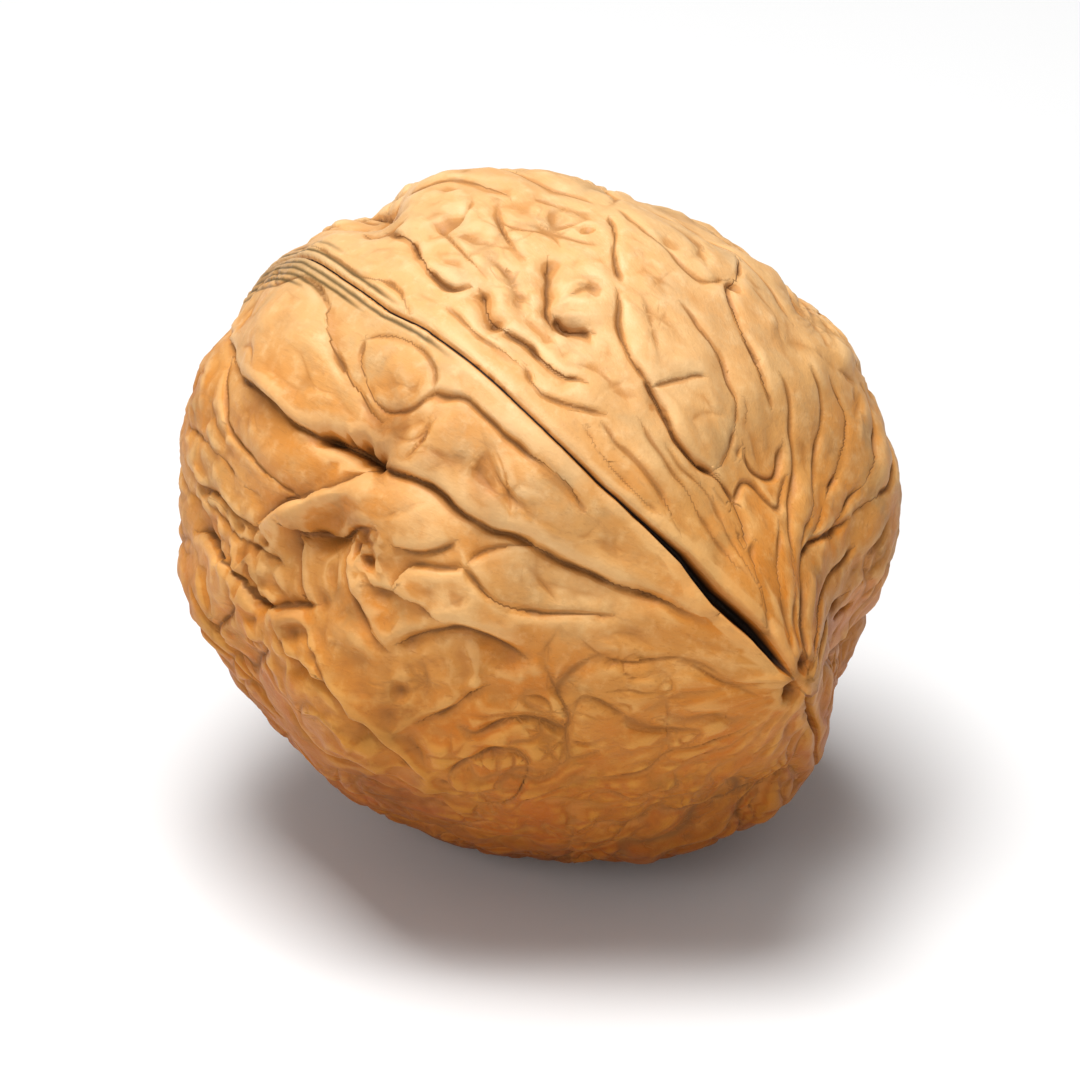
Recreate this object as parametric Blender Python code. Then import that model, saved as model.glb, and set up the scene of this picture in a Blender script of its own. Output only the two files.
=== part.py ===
"""A whole walnut in its shell, lying on its side on a small flat spot.

The nut is one solid. Its surface is worked out as a distance from the nut's centre in every direction:
an egg with a beak at the tip, the seam that joins the two halves, swells and hollows, drawn creases on the
side that faces the front, and a net of creases along the meridians all round. The drawn creases have the
widths of the real nut's, and the solid's facets are larger than that, so it cuts them wider and deeper.
Lengths are in millimetres until the mesh is made, and the mesh is in metres.
"""

import math

import bmesh
import bpy
import numpy as np

MM = 0.001

# Driving dimensions
LENGTH = 38.4  # from the base to the foot of the beak
SEAM_WIDTH = 37.2  # across the two seams
CHEEK_WIDTH = 35.6  # across the round backs of the two halves
BEAK_RISE = 1.4  # how far the tip's point stands out
BEAK_SPREAD = 9.0  # degrees from the tip over which the beak falls away
BEAK_FALL = 1.3  # how steeply it does
TAPERS = (  # how much the ends draw in: rise, degrees from the tip, spread in degrees
    (-0.45, 30.0, 18.0),
    (-0.5, 180.0, 26.0),
    (-0.5, 180.0, 5.0),
)
FORM_WAVES = ((0.28, 17.0, 1), (0.13, 7.5, 2))  # how uneven the form is: height, length, seed
REST_HEIGHT = 18.2  # from the nut's centre down to the surface that it lies on
REST_SPREAD = 4.5  # the net fades this near to the middle of the flat spot
MEAN_RADIUS = 18.5

# The front drawing: a picture of 1080 x 1080 pixels, seen from above the horizon at the distance below
VIEW_ELEVATION = 27.0  # degrees
VIEW_DISTANCE = 350.0
PIXEL = 0.104  # millimetres at the nut's centre
CENTRE_PIXEL = (474.0, 505.0)

# Directions in the drawing: right, up, and out towards the viewer
TIP_DIRECTION = (0.623, -0.380, 0.684)
CHEEK_DIRECTION = (-0.655, -0.725, 0.210)

# The seam's line on the front, from the gap beside the tip to the base end, in pixels of the drawing
SEAM_DRAWN = (
    (591, 577), (578, 560), (560, 544), (544, 524), (526, 508), (503, 488), (479, 465), (454, 441),
    (435, 425), (417, 411), (399, 402), (382, 390), (363, 379), (345, 374),
)

# Creases drawn on the front: depth, half width, how much higher the side on the left of the stroke stands,
# and the stroke's points in pixels of the front drawing
CREASES = (
    # The valley between the shoulder of the seam and the lower cheek, the dark pit in it, and its end
    (
        0.50, 0.20, 0.35,
        ((333, 389), (326, 398), (321, 409), (324, 422), (331, 437), (341, 450), (353, 458)),
    ),
    (
        0.95, 0.30, 0.55,
        ((331, 437), (341, 450), (353, 458), (366, 466), (380, 474), (394, 480), (408, 486),
         (423, 494), (438, 504), (450, 512)),
    ),
    (2.00, 0.40, 0.1, ((359, 461), (367, 465), (376, 470), (384, 475), (393, 479))),
    (
        0.62, 0.18, 0.30,
        ((438, 504), (450, 512), (460, 514), (477, 521), (488, 528), (500, 535), (514, 539), (529, 542),
         (542, 548), (555, 551), (562, 549)),
    ),
    # The big lobe, the disc beside it and the crease that runs on along the shoulder
    (
        0.31, 0.14, -0.15,
        ((360, 391), (369, 398), (373, 407), (372, 417), (374, 427), (380, 436), (386, 448), (393, 455)),
    ),
    (
        0.25, 0.12, 0.0,
        ((387, 416), (384, 425), (385, 436), (391, 447), (399, 452), (411, 451), (423, 443)),
    ),
    (0.20, 0.12, 0.0, ((387, 416), (395, 413), (406, 416), (417, 423), (424, 434), (423, 443))),
    (
        0.31, 0.14, 0.2,
        ((418, 447), (423, 443), (429, 445), (438, 446), (445, 453), (454, 463), (460, 469), (469, 476),
         (480, 482), (486, 490), (493, 501)),
    ),
    # Fine lines beside the seam at the base end
    (0.20, 0.11, 0.0, ((341, 387), (349, 389), (357, 391), (365, 396), (372, 401))),
    (
        0.21, 0.11, 0.0,
        ((352, 367), (359, 370), (368, 374), (378, 379), (388, 385), (400, 393), (412, 402)),
    ),
    # Creases along the seam on the upper cheek
    (0.60, 0.30, 0.2, ((442, 392), (446, 398), (451, 404), (457, 409))),
    (0.42, 0.16, 0.3, ((454, 407), (464, 417), (474, 426), (484, 434), (495, 437))),
    (0.22, 0.12, 0.1, ((465, 432), (470, 441), (477, 447), (489, 453), (504, 453))),
    (0.18, 0.11, 0.0, ((505, 459), (512, 467), (522, 476), (530, 488), (537, 503), (541, 513))),
    (
        0.17, 0.11, 0.0,
        ((523, 457), (530, 470), (538, 482), (547, 496), (553, 505), (560, 513), (567, 524), (572, 533)),
    ),
    (
        0.14, 0.11, 0.0,
        ((536, 470), (543, 481), (552, 490), (561, 501), (568, 512), (575, 528), (582, 545)),
    ),
    (0.14, 0.11, 0.0, ((496, 462), (506, 474), (515, 484), (524, 495), (530, 503))),
    (0.17, 0.11, 0.1, ((430, 402), (441, 411), (452, 419), (463, 431))),
    # The big plate of the upper cheek
    (0.25, 0.13, 0.0, ((510, 355), (511, 364), (512, 373), (516, 385))),
    (0.28, 0.14, 0.15, ((513, 392), (515, 404), (518, 417), (524, 427), (532, 439))),
    (
        0.55, 0.17, 0.22,
        ((530, 436), (534, 447), (537, 457), (541, 464), (547, 471), (556, 480), (564, 485)),
    ),
    (0.31, 0.13, 0.0, ((558, 481), (566, 488), (572, 497), (576, 508), (579, 520))),
    (
        0.22, 0.12, 0.0,
        ((562, 483), (570, 479), (575, 465), (577, 449), (572, 434), (566, 420), (555, 406), (545, 396)),
    ),
    (0.18, 0.11, 0.08, ((533, 441), (539, 438), (544, 435), (556, 434))),
    (0.13, 0.11, 0.0, ((580, 443), (583, 452), (582, 464), (578, 474))),
    # Long cells between the plate and the right edge
    (
        0.34, 0.14, 0.0,
        ((571, 375), (573, 386), (567, 391), (575, 403), (582, 420), (589, 434), (594, 446)),
    ),
    (
        0.25, 0.12, 0.0,
        ((582, 450), (582, 462), (584, 474), (588, 482), (596, 486), (600, 480), (601, 466)),
    ),
    (
        0.25, 0.12, 0.0,
        ((571, 500), (573, 494), (578, 487), (586, 487), (590, 495), (596, 502), (600, 495), (603, 484)),
    ),
    (
        0.21, 0.12, 0.0,
        ((598, 434), (603, 449), (606, 466), (607, 482), (604, 497), (601, 512), (600, 528)),
    ),
    (
        0.25, 0.12, 0.0,
        ((609, 430), (614, 446), (617, 462), (618, 478), (616, 492), (612, 506), (607, 522)),
    ),
    (0.31, 0.13, 0.0, ((619, 438), (625, 451), (628, 466), (626, 482), (621, 497), (615, 511))),
    (0.31, 0.13, 0.0, ((630, 439), (636, 453), (638, 468), (636, 484), (631, 499), (624, 512))),
    (0.28, 0.13, 0.0, ((641, 450), (646, 464), (645, 479), (640, 492), (634, 505))),
    # The fan of creases that runs into the tip
    (
        0.42, 0.14, 0.0,
        ((604, 577), (602, 565), (602, 553), (602, 540), (607, 524), (618, 514), (632, 507)),
    ),
    (
        0.39, 0.14, 0.0,
        ((606, 573), (609, 562), (612, 553), (617, 546), (622, 539), (628, 530), (634, 520)),
    ),
    (0.42, 0.14, 0.0, ((610, 581), (614, 575), (619, 569), (627, 560), (637, 550))),
    (0.31, 0.13, 0.0, ((607, 577), (614, 567), (622, 557), (633, 543))),
    (0.17, 0.11, 0.0, ((584, 566), (583, 555), (583, 546), (580, 534), (581, 519))),
    (0.17, 0.11, 0.0, ((595, 568), (592, 552), (590, 536), (592, 520), (594, 508))),
    (0.17, 0.11, 0.0, ((599, 570), (597, 554), (597, 538), (599, 522))),
    # The brow at the top
    (
        0.42, 0.14, 0.18,
        ((398, 361), (405, 363), (411, 367), (417, 377), (423, 386), (430, 391), (436, 390)),
    ),
    (0.22, 0.14, 0.0, ((384, 362), (391, 364), (399, 361), (407, 357))),
    (0.21, 0.22, 0.15, ((392, 348), (403, 341), (415, 342), (430, 342), (443, 342), (458, 347))),
    (0.14, 0.14, 0.0, ((443, 333), (464, 338), (480, 341), (497, 346))),
    (0.17, 0.14, 0.0, ((515, 352), (535, 371), (546, 381), (558, 387), (570, 386))),
    (0.17, 0.14, 0.0, ((535, 351), (556, 361), (573, 374), (590, 392), (602, 410))),
    (0.38, 0.46, -0.35, ((477, 374), (479, 384), (480, 393), (479, 400), (481, 407))),
    (0.60, 0.26, 0.3, ((484, 403), (486, 409), (491, 412), (499, 411))),
    # The fold and the steps of the lower cheek
    (
        0.56, 0.19, -0.75,
        ((325, 505), (336, 499), (348, 493), (358, 490), (368, 488), (380, 484), (388, 478)),
    ),
    (0.45, 0.23, 0.75, ((339, 506), (344, 511), (356, 515), (367, 515), (378, 510), (388, 511))),
    (
        0.25, 0.12, -0.1,
        ((321, 425), (318, 438), (318, 448), (319, 459), (324, 470), (330, 479), (338, 486), (345, 492)),
    ),
    (0.21, 0.12, 0.0, ((301, 458), (306, 467), (312, 475), (320, 486), (326, 492))),
    (0.31, 0.16, 0.3, ((296, 475), (300, 484), (306, 493), (316, 503), (326, 509))),
    (
        0.45, 0.20, -0.45,
        ((297, 509), (305, 518), (312, 527), (319, 535), (327, 546), (338, 552), (356, 549)),
    ),
    (0.36, 0.17, 0.35, ((375, 516), (373, 528), (373, 539), (381, 550), (389, 563), (397, 572))),
    (0.25, 0.13, -0.35, ((397, 540), (403, 535), (409, 531), (419, 529), (434, 529))),
    (
        0.31, 0.14, -0.15,
        ((433, 529), (443, 539), (452, 545), (463, 552), (477, 554), (496, 554), (508, 553)),
    ),
    (0.21, 0.12, -0.2, ((436, 527), (447, 522), (460, 519), (472, 519))),
    (0.28, 0.13, 0.25, ((399, 522), (405, 523), (411, 524), (418, 522), (425, 518), (431, 515))),
    (0.17, 0.12, 0.30, ((384, 537), (394, 541), (404, 546), (414, 552), (426, 560))),
    (0.53, 0.36, 0.45, ((402, 569), (412, 565), (422, 563), (436, 563), (448, 567), (463, 574))),
    (0.34, 0.17, 0.2, ((414, 608), (420, 606), (428, 602), (436, 596), (448, 592))),
    (
        0.50, 0.19, 0.4,
        ((338, 559), (343, 567), (349, 577), (360, 584), (373, 591), (381, 602),
         (395, 610), (404, 622), (414, 632)),
    ),
    (
        0.50, 0.22, 0.35,
        ((347, 604), (355, 612), (362, 618), (374, 625), (386, 627), (397, 634), (412, 641), (430, 646)),
    ),
    (0.28, 0.14, 0.1, ((364, 575), (371, 583), (378, 593), (384, 603))),
)

# Swells and hollows on the front: height, half length, half width, the angle of the long side in degrees
# above the picture's right (None where it runs over the horizon, straight away from the viewer), and the
# place in pixels of the front drawing
SWELLS = (
    (0.80, 4.6, 3.0, -62, (347, 421)),  # the big lobe at the base end of the shoulder
    (-0.12, 1.3, 0.9, -80, (352, 415)),  # its shallow dent
    (0.18, 2.0, 1.8, 0, (404, 432)),  # the disc
    (0.35, 7.5, 2.6, -42, (455, 487)),  # the shoulder's flat
    (-0.14, 2.6, 1.3, -30, (440, 468)),  # the dent beside the shoulder's crease
    (0.60, 4.5, 3.2, -20, (422, 348)),  # the brow
    (-0.30, 3.6, 2.4, -60, (482, 396)),  # the pitted hollow
    (0.40, 1.8, 0.9, -80, (490, 392)),  # the lump in it
    (0.22, 2.2, 1.6, -70, (435, 370)),  # the smooth swell beside the brow's crease
    (0.40, 5.0, 3.2, -65, (550, 447)),  # the big plate
    (0.70, 3.0, 0.8, 14, (352, 498)),  # the fold of the lower cheek
    (-0.85, 1.9, 1.1, 12, (361, 511)),  # the hollow under the fold
    (-0.35, 2.8, 1.6, -80, (360, 530)),  # and the flat face below it
    (0.40, 4.2, 2.0, -25, (404, 507)),  # the cheek above the net
    (0.22, 3.0, 1.6, -30, (436, 545)),  # the leaf-shaped plate
    (-0.40, 3.6, 2.6, -60, (352, 540)),  # the flat of the lower cheek
    (-0.30, 3.6, 2.4, 0, (410, 582)),  # the hollow over the small pit
    (0.85, 8.0, 5.5, 80, (655, 475)),  # the full side of the upper cheek
    (-1.35, 6.0, 1.6, None, (388, 345)),  # the notch between the shoulder and the brow
    (0.45, 2.5, 4.0, 60, (303, 430)),  # the corner over the lower cheek
    (-0.85, 8.0, 3.4, None, (288, 500)),  # the flatter flank below it
    (-0.70, 7.0, 4.0, None, (410, 668)),  # the underside
    (-1.00, 7.0, 3.6, None, (633, 574)),  # the drawn-in side of the tip
)

# Small pits on the front: depth, radius, and the place in pixels of the front drawing
PITS = (
    (1.60, 0.55, (371, 466)),
    (2.10, 0.62, (381, 472)),
    (1.60, 0.50, (389, 477)),
    (0.70, 0.42, (453, 406)),
    (0.50, 0.42, (446, 397)),
    (0.60, 0.42, (488, 411)),
    (0.35, 0.50, (499, 388)),
    (0.45, 0.40, (497, 360)),
    (0.22, 0.70, (537, 368)),
    (0.20, 0.70, (526, 379)),
    (0.55, 0.38, (572, 389)),
    (0.55, 0.50, (404, 593)),
    (0.35, 0.40, (359, 548)),
    (0.55, 0.45, (381, 520)),
    (0.80, 0.42, (596, 589)),
    (0.90, 0.46, (607, 596)),
    (0.50, 0.36, (603, 577)),
    (0.35, 0.35, (532, 450)),
)

# How far the seam stands open: degrees from the tip, and half the gap's width
GAP_SHAPE = (
    (0.0, 0.05), (2.5, 0.07), (4.2, 0.16), (8.5, 0.28), (13.0, 0.33), (19.0, 0.32), (24.0, 0.24),
    (28.0, 0.18), (33.0, 0.10), (40.0, 0.07), (60.0, 0.06), (180.0, 0.05),
)
GAP_CLOSED = 0.05  # half the seam's width where it is closed
GAP_DEEPENS = 5.5  # how much deeper the gap is for each millimetre that it is wider
HIDDEN_GAP = 0.45  # the gap on the far side of the tip, in the front's

# Where the seam runs where it isn't drawn, how high its shoulders stand, and where the drawn line ends
SEAM_SWAYS = ((0.22, 5.0, 0.6), (0.12, 11.0, 2.0))  # reach, times round, start
SEAM_RIPPLE = 0.07
SEAM_RIPPLE_LENGTH = 5.0
SEAM_RIPPLE_SEED = 25
SWAY_FROM = 40.0  # degrees from the tip from which it sways fully
DRAWN_END = 133.0  # degrees from the tip
DRAWN_FADE = 12.0
SEAM_RISE = 0.55
SEAM_RISES = ((0.35, 180.0, 55.0), (0.25, 0.0, 30.0))  # more of it: height, degrees from the tip, spread
SHOULDER_REACH = 3.0
SEAM_START = 5.0  # degrees from the tip over which the seam deepens
SEAM_LEAST = 0.15
SEAM_DEPTH = 0.45  # where it is closed
SEAM_WIDENS = 0.20  # added to half the seam's width
SEAM_LIP = 0.10
SEAM_LIP_PLACE = 0.75
SEAM_LIP_REACH = 0.45

CREASE_DEEPENS = 1.25  # the solid's creases, in the drawn depth
CREASE_WIDENS = 1.5  # and in the drawn half width
CREASE_NARROWEST = 0.40  # but no narrower than this half width
PIT_NARROWEST = 0.55

# The net of creases all round: cell length along the meridian, cell width, crease depth, half width, seed
NET = (7.5, 4.6, 0.50, 0.45, 11)
NET_WANDER = ((2.2, 0.30), (0.9, 0.10))  # how the borders stray: length and reach, in cell widths

# Long folds that wander along the meridians where nothing is drawn: spacing, crease depth, seed
FOLDS = (
    (5.2, 0.36, 31),
    (2.6, 0.14, 41),
)
FOLD_STRETCH = 0.30  # a fold's width over its length
FOLD_WIDTH = 0.26  # half the width of a fold's crease, in the fold's own field
FOLD_WARP = 0.22  # how far the folds stray, in spacings
FOLD_CROWN = 0.45  # how high a fold stands, in its crease's depth
FOLD_STEEP = 0.3  # how much of the fold's own field its sides take up
FOLD_PRESENCE = (0.60, 0.60, 0.0, 1.2)  # where folds come and go: mean, swing, least and most
NET_PRESENCE = (0.62, 0.55, 0.12, 1.15)
NET_CROWN = (0.35, 0.62)  # a cell's crown: height in its crease's depth, and reach in the cell's width

CELL_SCATTER = 0.42  # how far a cell's centre strays from its place in its row, in cells
POLE_GIRTH = 0.30  # the barrel's girth at its two ends, in the middle's girth
DRAWN_REACH = 1.9  # the net and the folds fade this near to a drawn crease
SEAM_REACH = 1.6  # and this near to the seam
END_FADE = 0.14  # share of a drawn crease's length over which each end fades
END_STRENGTH = 0.35  # what is left of it at the very end
LEDGE_REACH = 1.1  # a step across a crease levels out this far from it
LIP = 0.12  # how far a crease's lips stand out, in its depth
SWELL_EDGE = 1.3  # how steeply a swell's edge falls
POCK_PATCH = 16.0  # spacing of the pitted patches
POCK_SPACING = 3.0
POCK_DEPTH = 0.75

RIM = 0.995  # drawn points stay inside this share of the ball's outline
LIFT_ROUNDS = 4  # rounds in which drawn points settle on the plain form
TINY = 1e-9
CHUNK = 4096  # points worked through at a time

GRID = 82  # squares along each edge of the cube that the sphere starts from
FACETS = 11500  # triangles in the solid
BLOCK_SIDE = 3.0 * MEAN_RADIUS  # of the block that cuts the flat spot


def unit(vector):
    return np.asarray(vector, float) / np.linalg.norm(vector)


def view_axes():
    """Right, up and out of the front drawing, in the nut's own frame."""
    elevation = math.radians(VIEW_ELEVATION)
    rise, run = math.sin(elevation), math.cos(elevation)
    return np.array(((1.0, 0.0, 0.0), (0.0, rise, run), (0.0, -run, rise)))


def nut_axes():
    """Unit vectors towards the tip, across the halves in the seam's plane, and out of the lower cheek."""
    tip = unit(unit(TIP_DIRECTION) @ view_axes())
    cheek = unit(CHEEK_DIRECTION) @ view_axes()
    cheek = unit(cheek - (cheek @ tip) * tip)
    return tip, np.cross(cheek, tip), cheek


def bump(distance, spread):
    return np.exp(-((distance / spread) ** 2))


def egg(directions):
    """The plain form: an egg with three widths, a beak at the tip and a flatter base."""
    tip, across, cheek = nut_axes()
    toward = directions @ tip
    shape = (2.0 * toward / LENGTH) ** 2
    shape += (2.0 * (directions @ across) / SEAM_WIDTH) ** 2
    shape += (2.0 * (directions @ cheek) / CHEEK_WIDTH) ** 2
    from_tip = np.degrees(np.arccos(np.clip(toward, -1.0, 1.0)))
    radius = 1.0 / np.sqrt(shape) + BEAK_RISE * np.exp(-((from_tip / BEAK_SPREAD) ** BEAK_FALL))
    for rise, middle, spread in TAPERS:
        radius += rise * bump(from_tip - middle, spread)
    return radius


def onto_ball(across, radius):
    """Directions to the points of a ball of this radius that lie under places in the drawing."""
    reach = np.linalg.norm(across, axis=1, keepdims=True)
    inside = np.minimum(reach, RIM * radius)
    across = across * inside / np.maximum(reach, TINY)
    across = across * (1.0 - np.sqrt(radius**2 - inside**2) / VIEW_DISTANCE)
    out = np.sqrt(radius**2 - (across**2).sum(1, keepdims=True))
    return np.concatenate([across, out], axis=1) @ view_axes() / radius


def lifted(pixels):
    """Directions from the nut's centre to the points of its plain form that lie under drawn points."""
    across = (np.asarray(pixels, float) - CENTRE_PIXEL) * (PIXEL, -PIXEL)
    directions = onto_ball(across, np.full((len(across), 1), MEAN_RADIUS))
    for _ in range(LIFT_ROUNDS):
        directions = onto_ball(across, egg(directions)[:, None])
    return directions


def rounded(points, passes=2):
    """The stroke with its corners cut, so that it bends smoothly."""
    for _ in range(passes):
        near = 0.75 * points[:-1] + 0.25 * points[1:]
        far = 0.25 * points[:-1] + 0.75 * points[1:]
        middle = np.stack([near, far], axis=1).reshape(-1, points.shape[1])
        points = np.concatenate([points[:1], middle, points[-1:]])
    return points


def waves(points, length, seed, count=24):
    """Smooth noise with about unit strength: plane waves of about the given length, in all directions."""
    rng = np.random.default_rng(seed)
    directions = rng.normal(size=(count, 3))
    directions /= np.linalg.norm(directions, axis=1, keepdims=True)
    numbers = 2.0 * math.pi / (length * rng.uniform(0.75, 1.4, size=(count, 1)))
    phases = rng.uniform(0.0, 2.0 * math.pi, size=count)
    return np.sin(points @ (directions * numbers).T + phases).sum(1) * math.sqrt(2.0 / count)


def along_line(points, line):
    """For each point: its distance from the line, which is signed, and how far along the line it lies."""
    lengths = np.linalg.norm(np.diff(line, axis=0), axis=1)
    starts = np.concatenate([[0.0], np.cumsum(lengths)])
    best, signed, along = np.full(len(points), np.inf), np.zeros(len(points)), np.zeros(len(points))
    for start, end, length, before in zip(line, line[1:], lengths, starts):
        heading = (end - start) / length
        offset = points - start
        at = np.clip(offset @ heading, 0.0, length)
        gap = offset - at[:, None] * heading
        distance = np.linalg.norm(gap, axis=1)
        closer = distance < best
        left = gap @ np.cross(start / MEAN_RADIUS, heading) > 0.0
        best = np.where(closer, distance, best)
        signed = np.where(closer, np.where(left, distance, -distance), signed)
        along = np.where(closer, before + at, along)
    return signed, along, starts[-1]


def crease(directions, depth, half_width, step, pixels):
    """A crease's groove, the lips and the step beside it, and how near each direction is to the stroke."""
    depth = CREASE_DEEPENS * depth
    half_width = max(CREASE_NARROWEST, CREASE_WIDENS * half_width)
    line = rounded(lifted(pixels) * MEAN_RADIUS)
    groove, sides, closeness = np.zeros((3, len(directions)))
    middle = line.mean(0)
    reach = np.linalg.norm(line - middle, axis=1).max() + 7.0 * half_width + DRAWN_REACH
    near = np.flatnonzero(np.linalg.norm(directions * MEAN_RADIUS - middle, axis=1) < reach)
    signed, along, total = along_line(directions[near] * MEAN_RADIUS, line)
    distance = np.abs(signed)
    end_fade = np.clip(np.minimum(along, total - along) / (END_FADE * total), 0.0, 1.0)
    fade = end_fade * (2.0 - end_fade)
    strength = END_STRENGTH + (1.0 - END_STRENGTH) * fade
    groove[near] = -depth * strength * np.exp(-distance / half_width)
    lips = LIP * depth * bump(distance - 2.0 * half_width, 1.1 * half_width)
    ledge = 0.5 * step * np.tanh(signed / half_width) * bump(distance, max(4.0 * half_width, LEDGE_REACH))
    sides[near] = strength * lips + fade * ledge
    closeness[near] = bump(distance, DRAWN_REACH)
    return groove, sides, closeness


def swell(directions, height, half_length, half_width, angle, pixel):
    """A smooth dome, or a hollow where the height is negative."""
    centre = lifted([pixel])[0]
    right, up, out = view_axes()
    long_side = out
    if angle is not None:
        turn = math.radians(angle)
        long_side = math.cos(turn) * right + math.sin(turn) * up
    long_side = unit(long_side - (long_side @ centre) * centre)
    short_side = np.cross(centre, long_side)
    x = directions @ long_side * MEAN_RADIUS / half_length
    y = directions @ short_side * MEAN_RADIUS / half_width
    facing = directions @ centre > 0.0
    return np.where(facing, height * np.exp(-((x * x + y * y) ** SWELL_EDGE)), 0.0)


def come_and_go(field, mean, swing, least, most):
    return np.clip(mean + swing * field, least, most)


def on_barrel(directions):
    """Points on a barrel round the nut's axis, on which lines along the meridians run straight."""
    tip, across, cheek = nut_axes()
    from_tip = np.arccos(np.clip(directions @ tip, -1.0, 1.0))
    girth = MEAN_RADIUS * (POLE_GIRTH + (1.0 - POLE_GIRTH) * np.sin(from_tip))
    around = np.arctan2(directions @ cheek, directions @ across)
    return np.stack([girth * np.cos(around), girth * np.sin(around), MEAN_RADIUS * from_tip], axis=1)


def cell_centres(length, width, seed):
    """Scattered cell centres on the barrel, in rows from the tip to the base."""
    rng = np.random.default_rng(seed)
    rows = max(3, round(math.pi * MEAN_RADIUS / length))
    centres = []
    for row in range(rows + 1):
        from_tip = math.pi * row / rows
        girth = MEAN_RADIUS * (POLE_GIRTH + (1.0 - POLE_GIRTH) * math.sin(from_tip))
        count = max(4, round(2.0 * math.pi * girth / width))
        place = np.arange(count) + 0.5 * (row % 2) + rng.uniform(-CELL_SCATTER, CELL_SCATTER, count)
        around = 2.0 * math.pi * place / count
        height = MEAN_RADIUS * from_tip + length * rng.uniform(-CELL_SCATTER, CELL_SCATTER, count)
        centres.append(np.stack([girth * np.cos(around), girth * np.sin(around), height], axis=1))
    return np.concatenate(centres)


def nearest_two(points, centres):
    """Each point's distances to the nearest centre and to the next one."""
    nearest = np.empty((len(points), 2))
    for first in range(0, len(points), CHUNK):
        block = points[first : first + CHUNK]
        squared = (block**2).sum(1)[:, None] + (centres**2).sum(1)[None] - 2.0 * block @ centres.T
        nearest[first : first + CHUNK] = np.sqrt(np.maximum(np.partition(squared, 1, axis=1)[:, :2], 0.0))
    return nearest.T


def net(directions, length, width, depth, half_width, seed):
    """Creases along the borders of long cells, which wander and come and go, and the cells' own crowns."""
    squeeze = np.array((1.0, 1.0, width / length))
    ball = directions * MEAN_RADIUS
    points = on_barrel(directions)
    for wander, share in NET_WANDER:
        sway = [waves(ball, wander * width, seed + 3 + k) for k in range(3)]
        points = points + share * width * np.stack(sway, axis=1)
    inside, beyond = nearest_two(points * squeeze, cell_centres(length, width, seed) * squeeze)
    border = 0.5 * (beyond - inside)
    presence = come_and_go(waves(ball, 3.0 * width, seed + 7), *NET_PRESENCE)
    height, reach = NET_CROWN
    crown = height * depth * presence * (1.0 - np.clip(inside / (reach * width), 0.0, 1.0) ** 2)
    return -depth * presence * bump(border, half_width), crown


def folds(directions, spacing, depth, seed):
    """Rounded folds with sharp creases between them, longer along the meridians than across them."""
    ball = directions * MEAN_RADIUS
    points = on_barrel(directions) * (1.0, 1.0, FOLD_STRETCH)
    points = points + FOLD_WARP * spacing * waves(ball, 1.6 * spacing, seed + 1)[:, None]
    field = waves(points, 2.0 * spacing, seed)
    presence = come_and_go(waves(ball, 2.4 * spacing, seed + 2), *FOLD_PRESENCE)
    crown = FOLD_CROWN * depth * presence * (1.0 - np.exp(-(field**2) / FOLD_STEEP))
    return -depth * presence * bump(field, FOLD_WIDTH), crown


def pocks(directions):
    """Patches of small pits on the cheeks."""
    ball = directions * MEAN_RADIUS
    patch = np.clip(waves(ball, POCK_PATCH, 52) - 0.1, 0.0, 1.0)
    deep = np.clip(-waves(ball, POCK_SPACING, 51) - 1.0, 0.0, 1.1)
    return -POCK_DEPTH * patch * deep


def seam_place(directions):
    """How far each direction turns from the tip in the seam's plane, and its offset from the seam."""
    tip, across, cheek = nut_axes()
    turn = np.degrees(np.arctan2(directions @ across, directions @ tip))
    sway = SEAM_RIPPLE * waves(directions * MEAN_RADIUS, SEAM_RIPPLE_LENGTH, SEAM_RIPPLE_SEED)
    for reach, times, start in SEAM_SWAYS:
        sway += reach * np.sin(times * np.radians(turn) + start)
    sway *= np.clip(np.abs(turn) / SWAY_FROM, 0.0, 1.0)
    drawn = lifted(SEAM_DRAWN)
    drawn_turn = np.degrees(np.arctan2(drawn @ across, drawn @ tip))
    drawn_sway = np.interp(turn, drawn_turn, MEAN_RADIUS * np.arcsin(drawn @ cheek))
    on_front = np.clip(np.minimum(DRAWN_FADE + turn, DRAWN_END - turn) / DRAWN_FADE, 0.0, 1.0)
    sway = on_front * drawn_sway + (1.0 - on_front) * sway
    return turn, MEAN_RADIUS * np.arcsin(np.clip(directions @ cheek, -1.0, 1.0)) - sway


def seam_rise(far, offset):
    """How high the shoulders along the seam stand."""
    rise = SEAM_RISE
    for extra, middle, spread in SEAM_RISES:
        rise = rise + extra * bump(far - middle, spread)
    return rise * bump(offset, SHOULDER_REACH)


def gap_opening(turn):
    """Half the width by which the seam stands open, beyond what it has where it is closed."""
    gap_angles, gap_halves = np.transpose(GAP_SHAPE)
    opened = np.maximum(np.interp(np.abs(turn), gap_angles, gap_halves) - GAP_CLOSED, 0.0)
    return opened * np.where(turn > 0.0, 1.0, HIDDEN_GAP)


def seam(turn, offset):
    """The groove of the seam, with the gap that opens beside the tip, and the raised shoulders along it."""
    far = np.abs(turn)
    opened = gap_opening(turn)
    depth = (SEAM_DEPTH + GAP_DEEPENS * opened) * np.clip(far / SEAM_START, SEAM_LEAST, 1.0)
    groove = -depth * np.exp(-((offset / (GAP_CLOSED + SEAM_WIDENS + opened)) ** 4))
    return groove, seam_rise(far, offset) + SEAM_LIP * bump(np.abs(offset) - SEAM_LIP_PLACE, SEAM_LIP_REACH)


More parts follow.
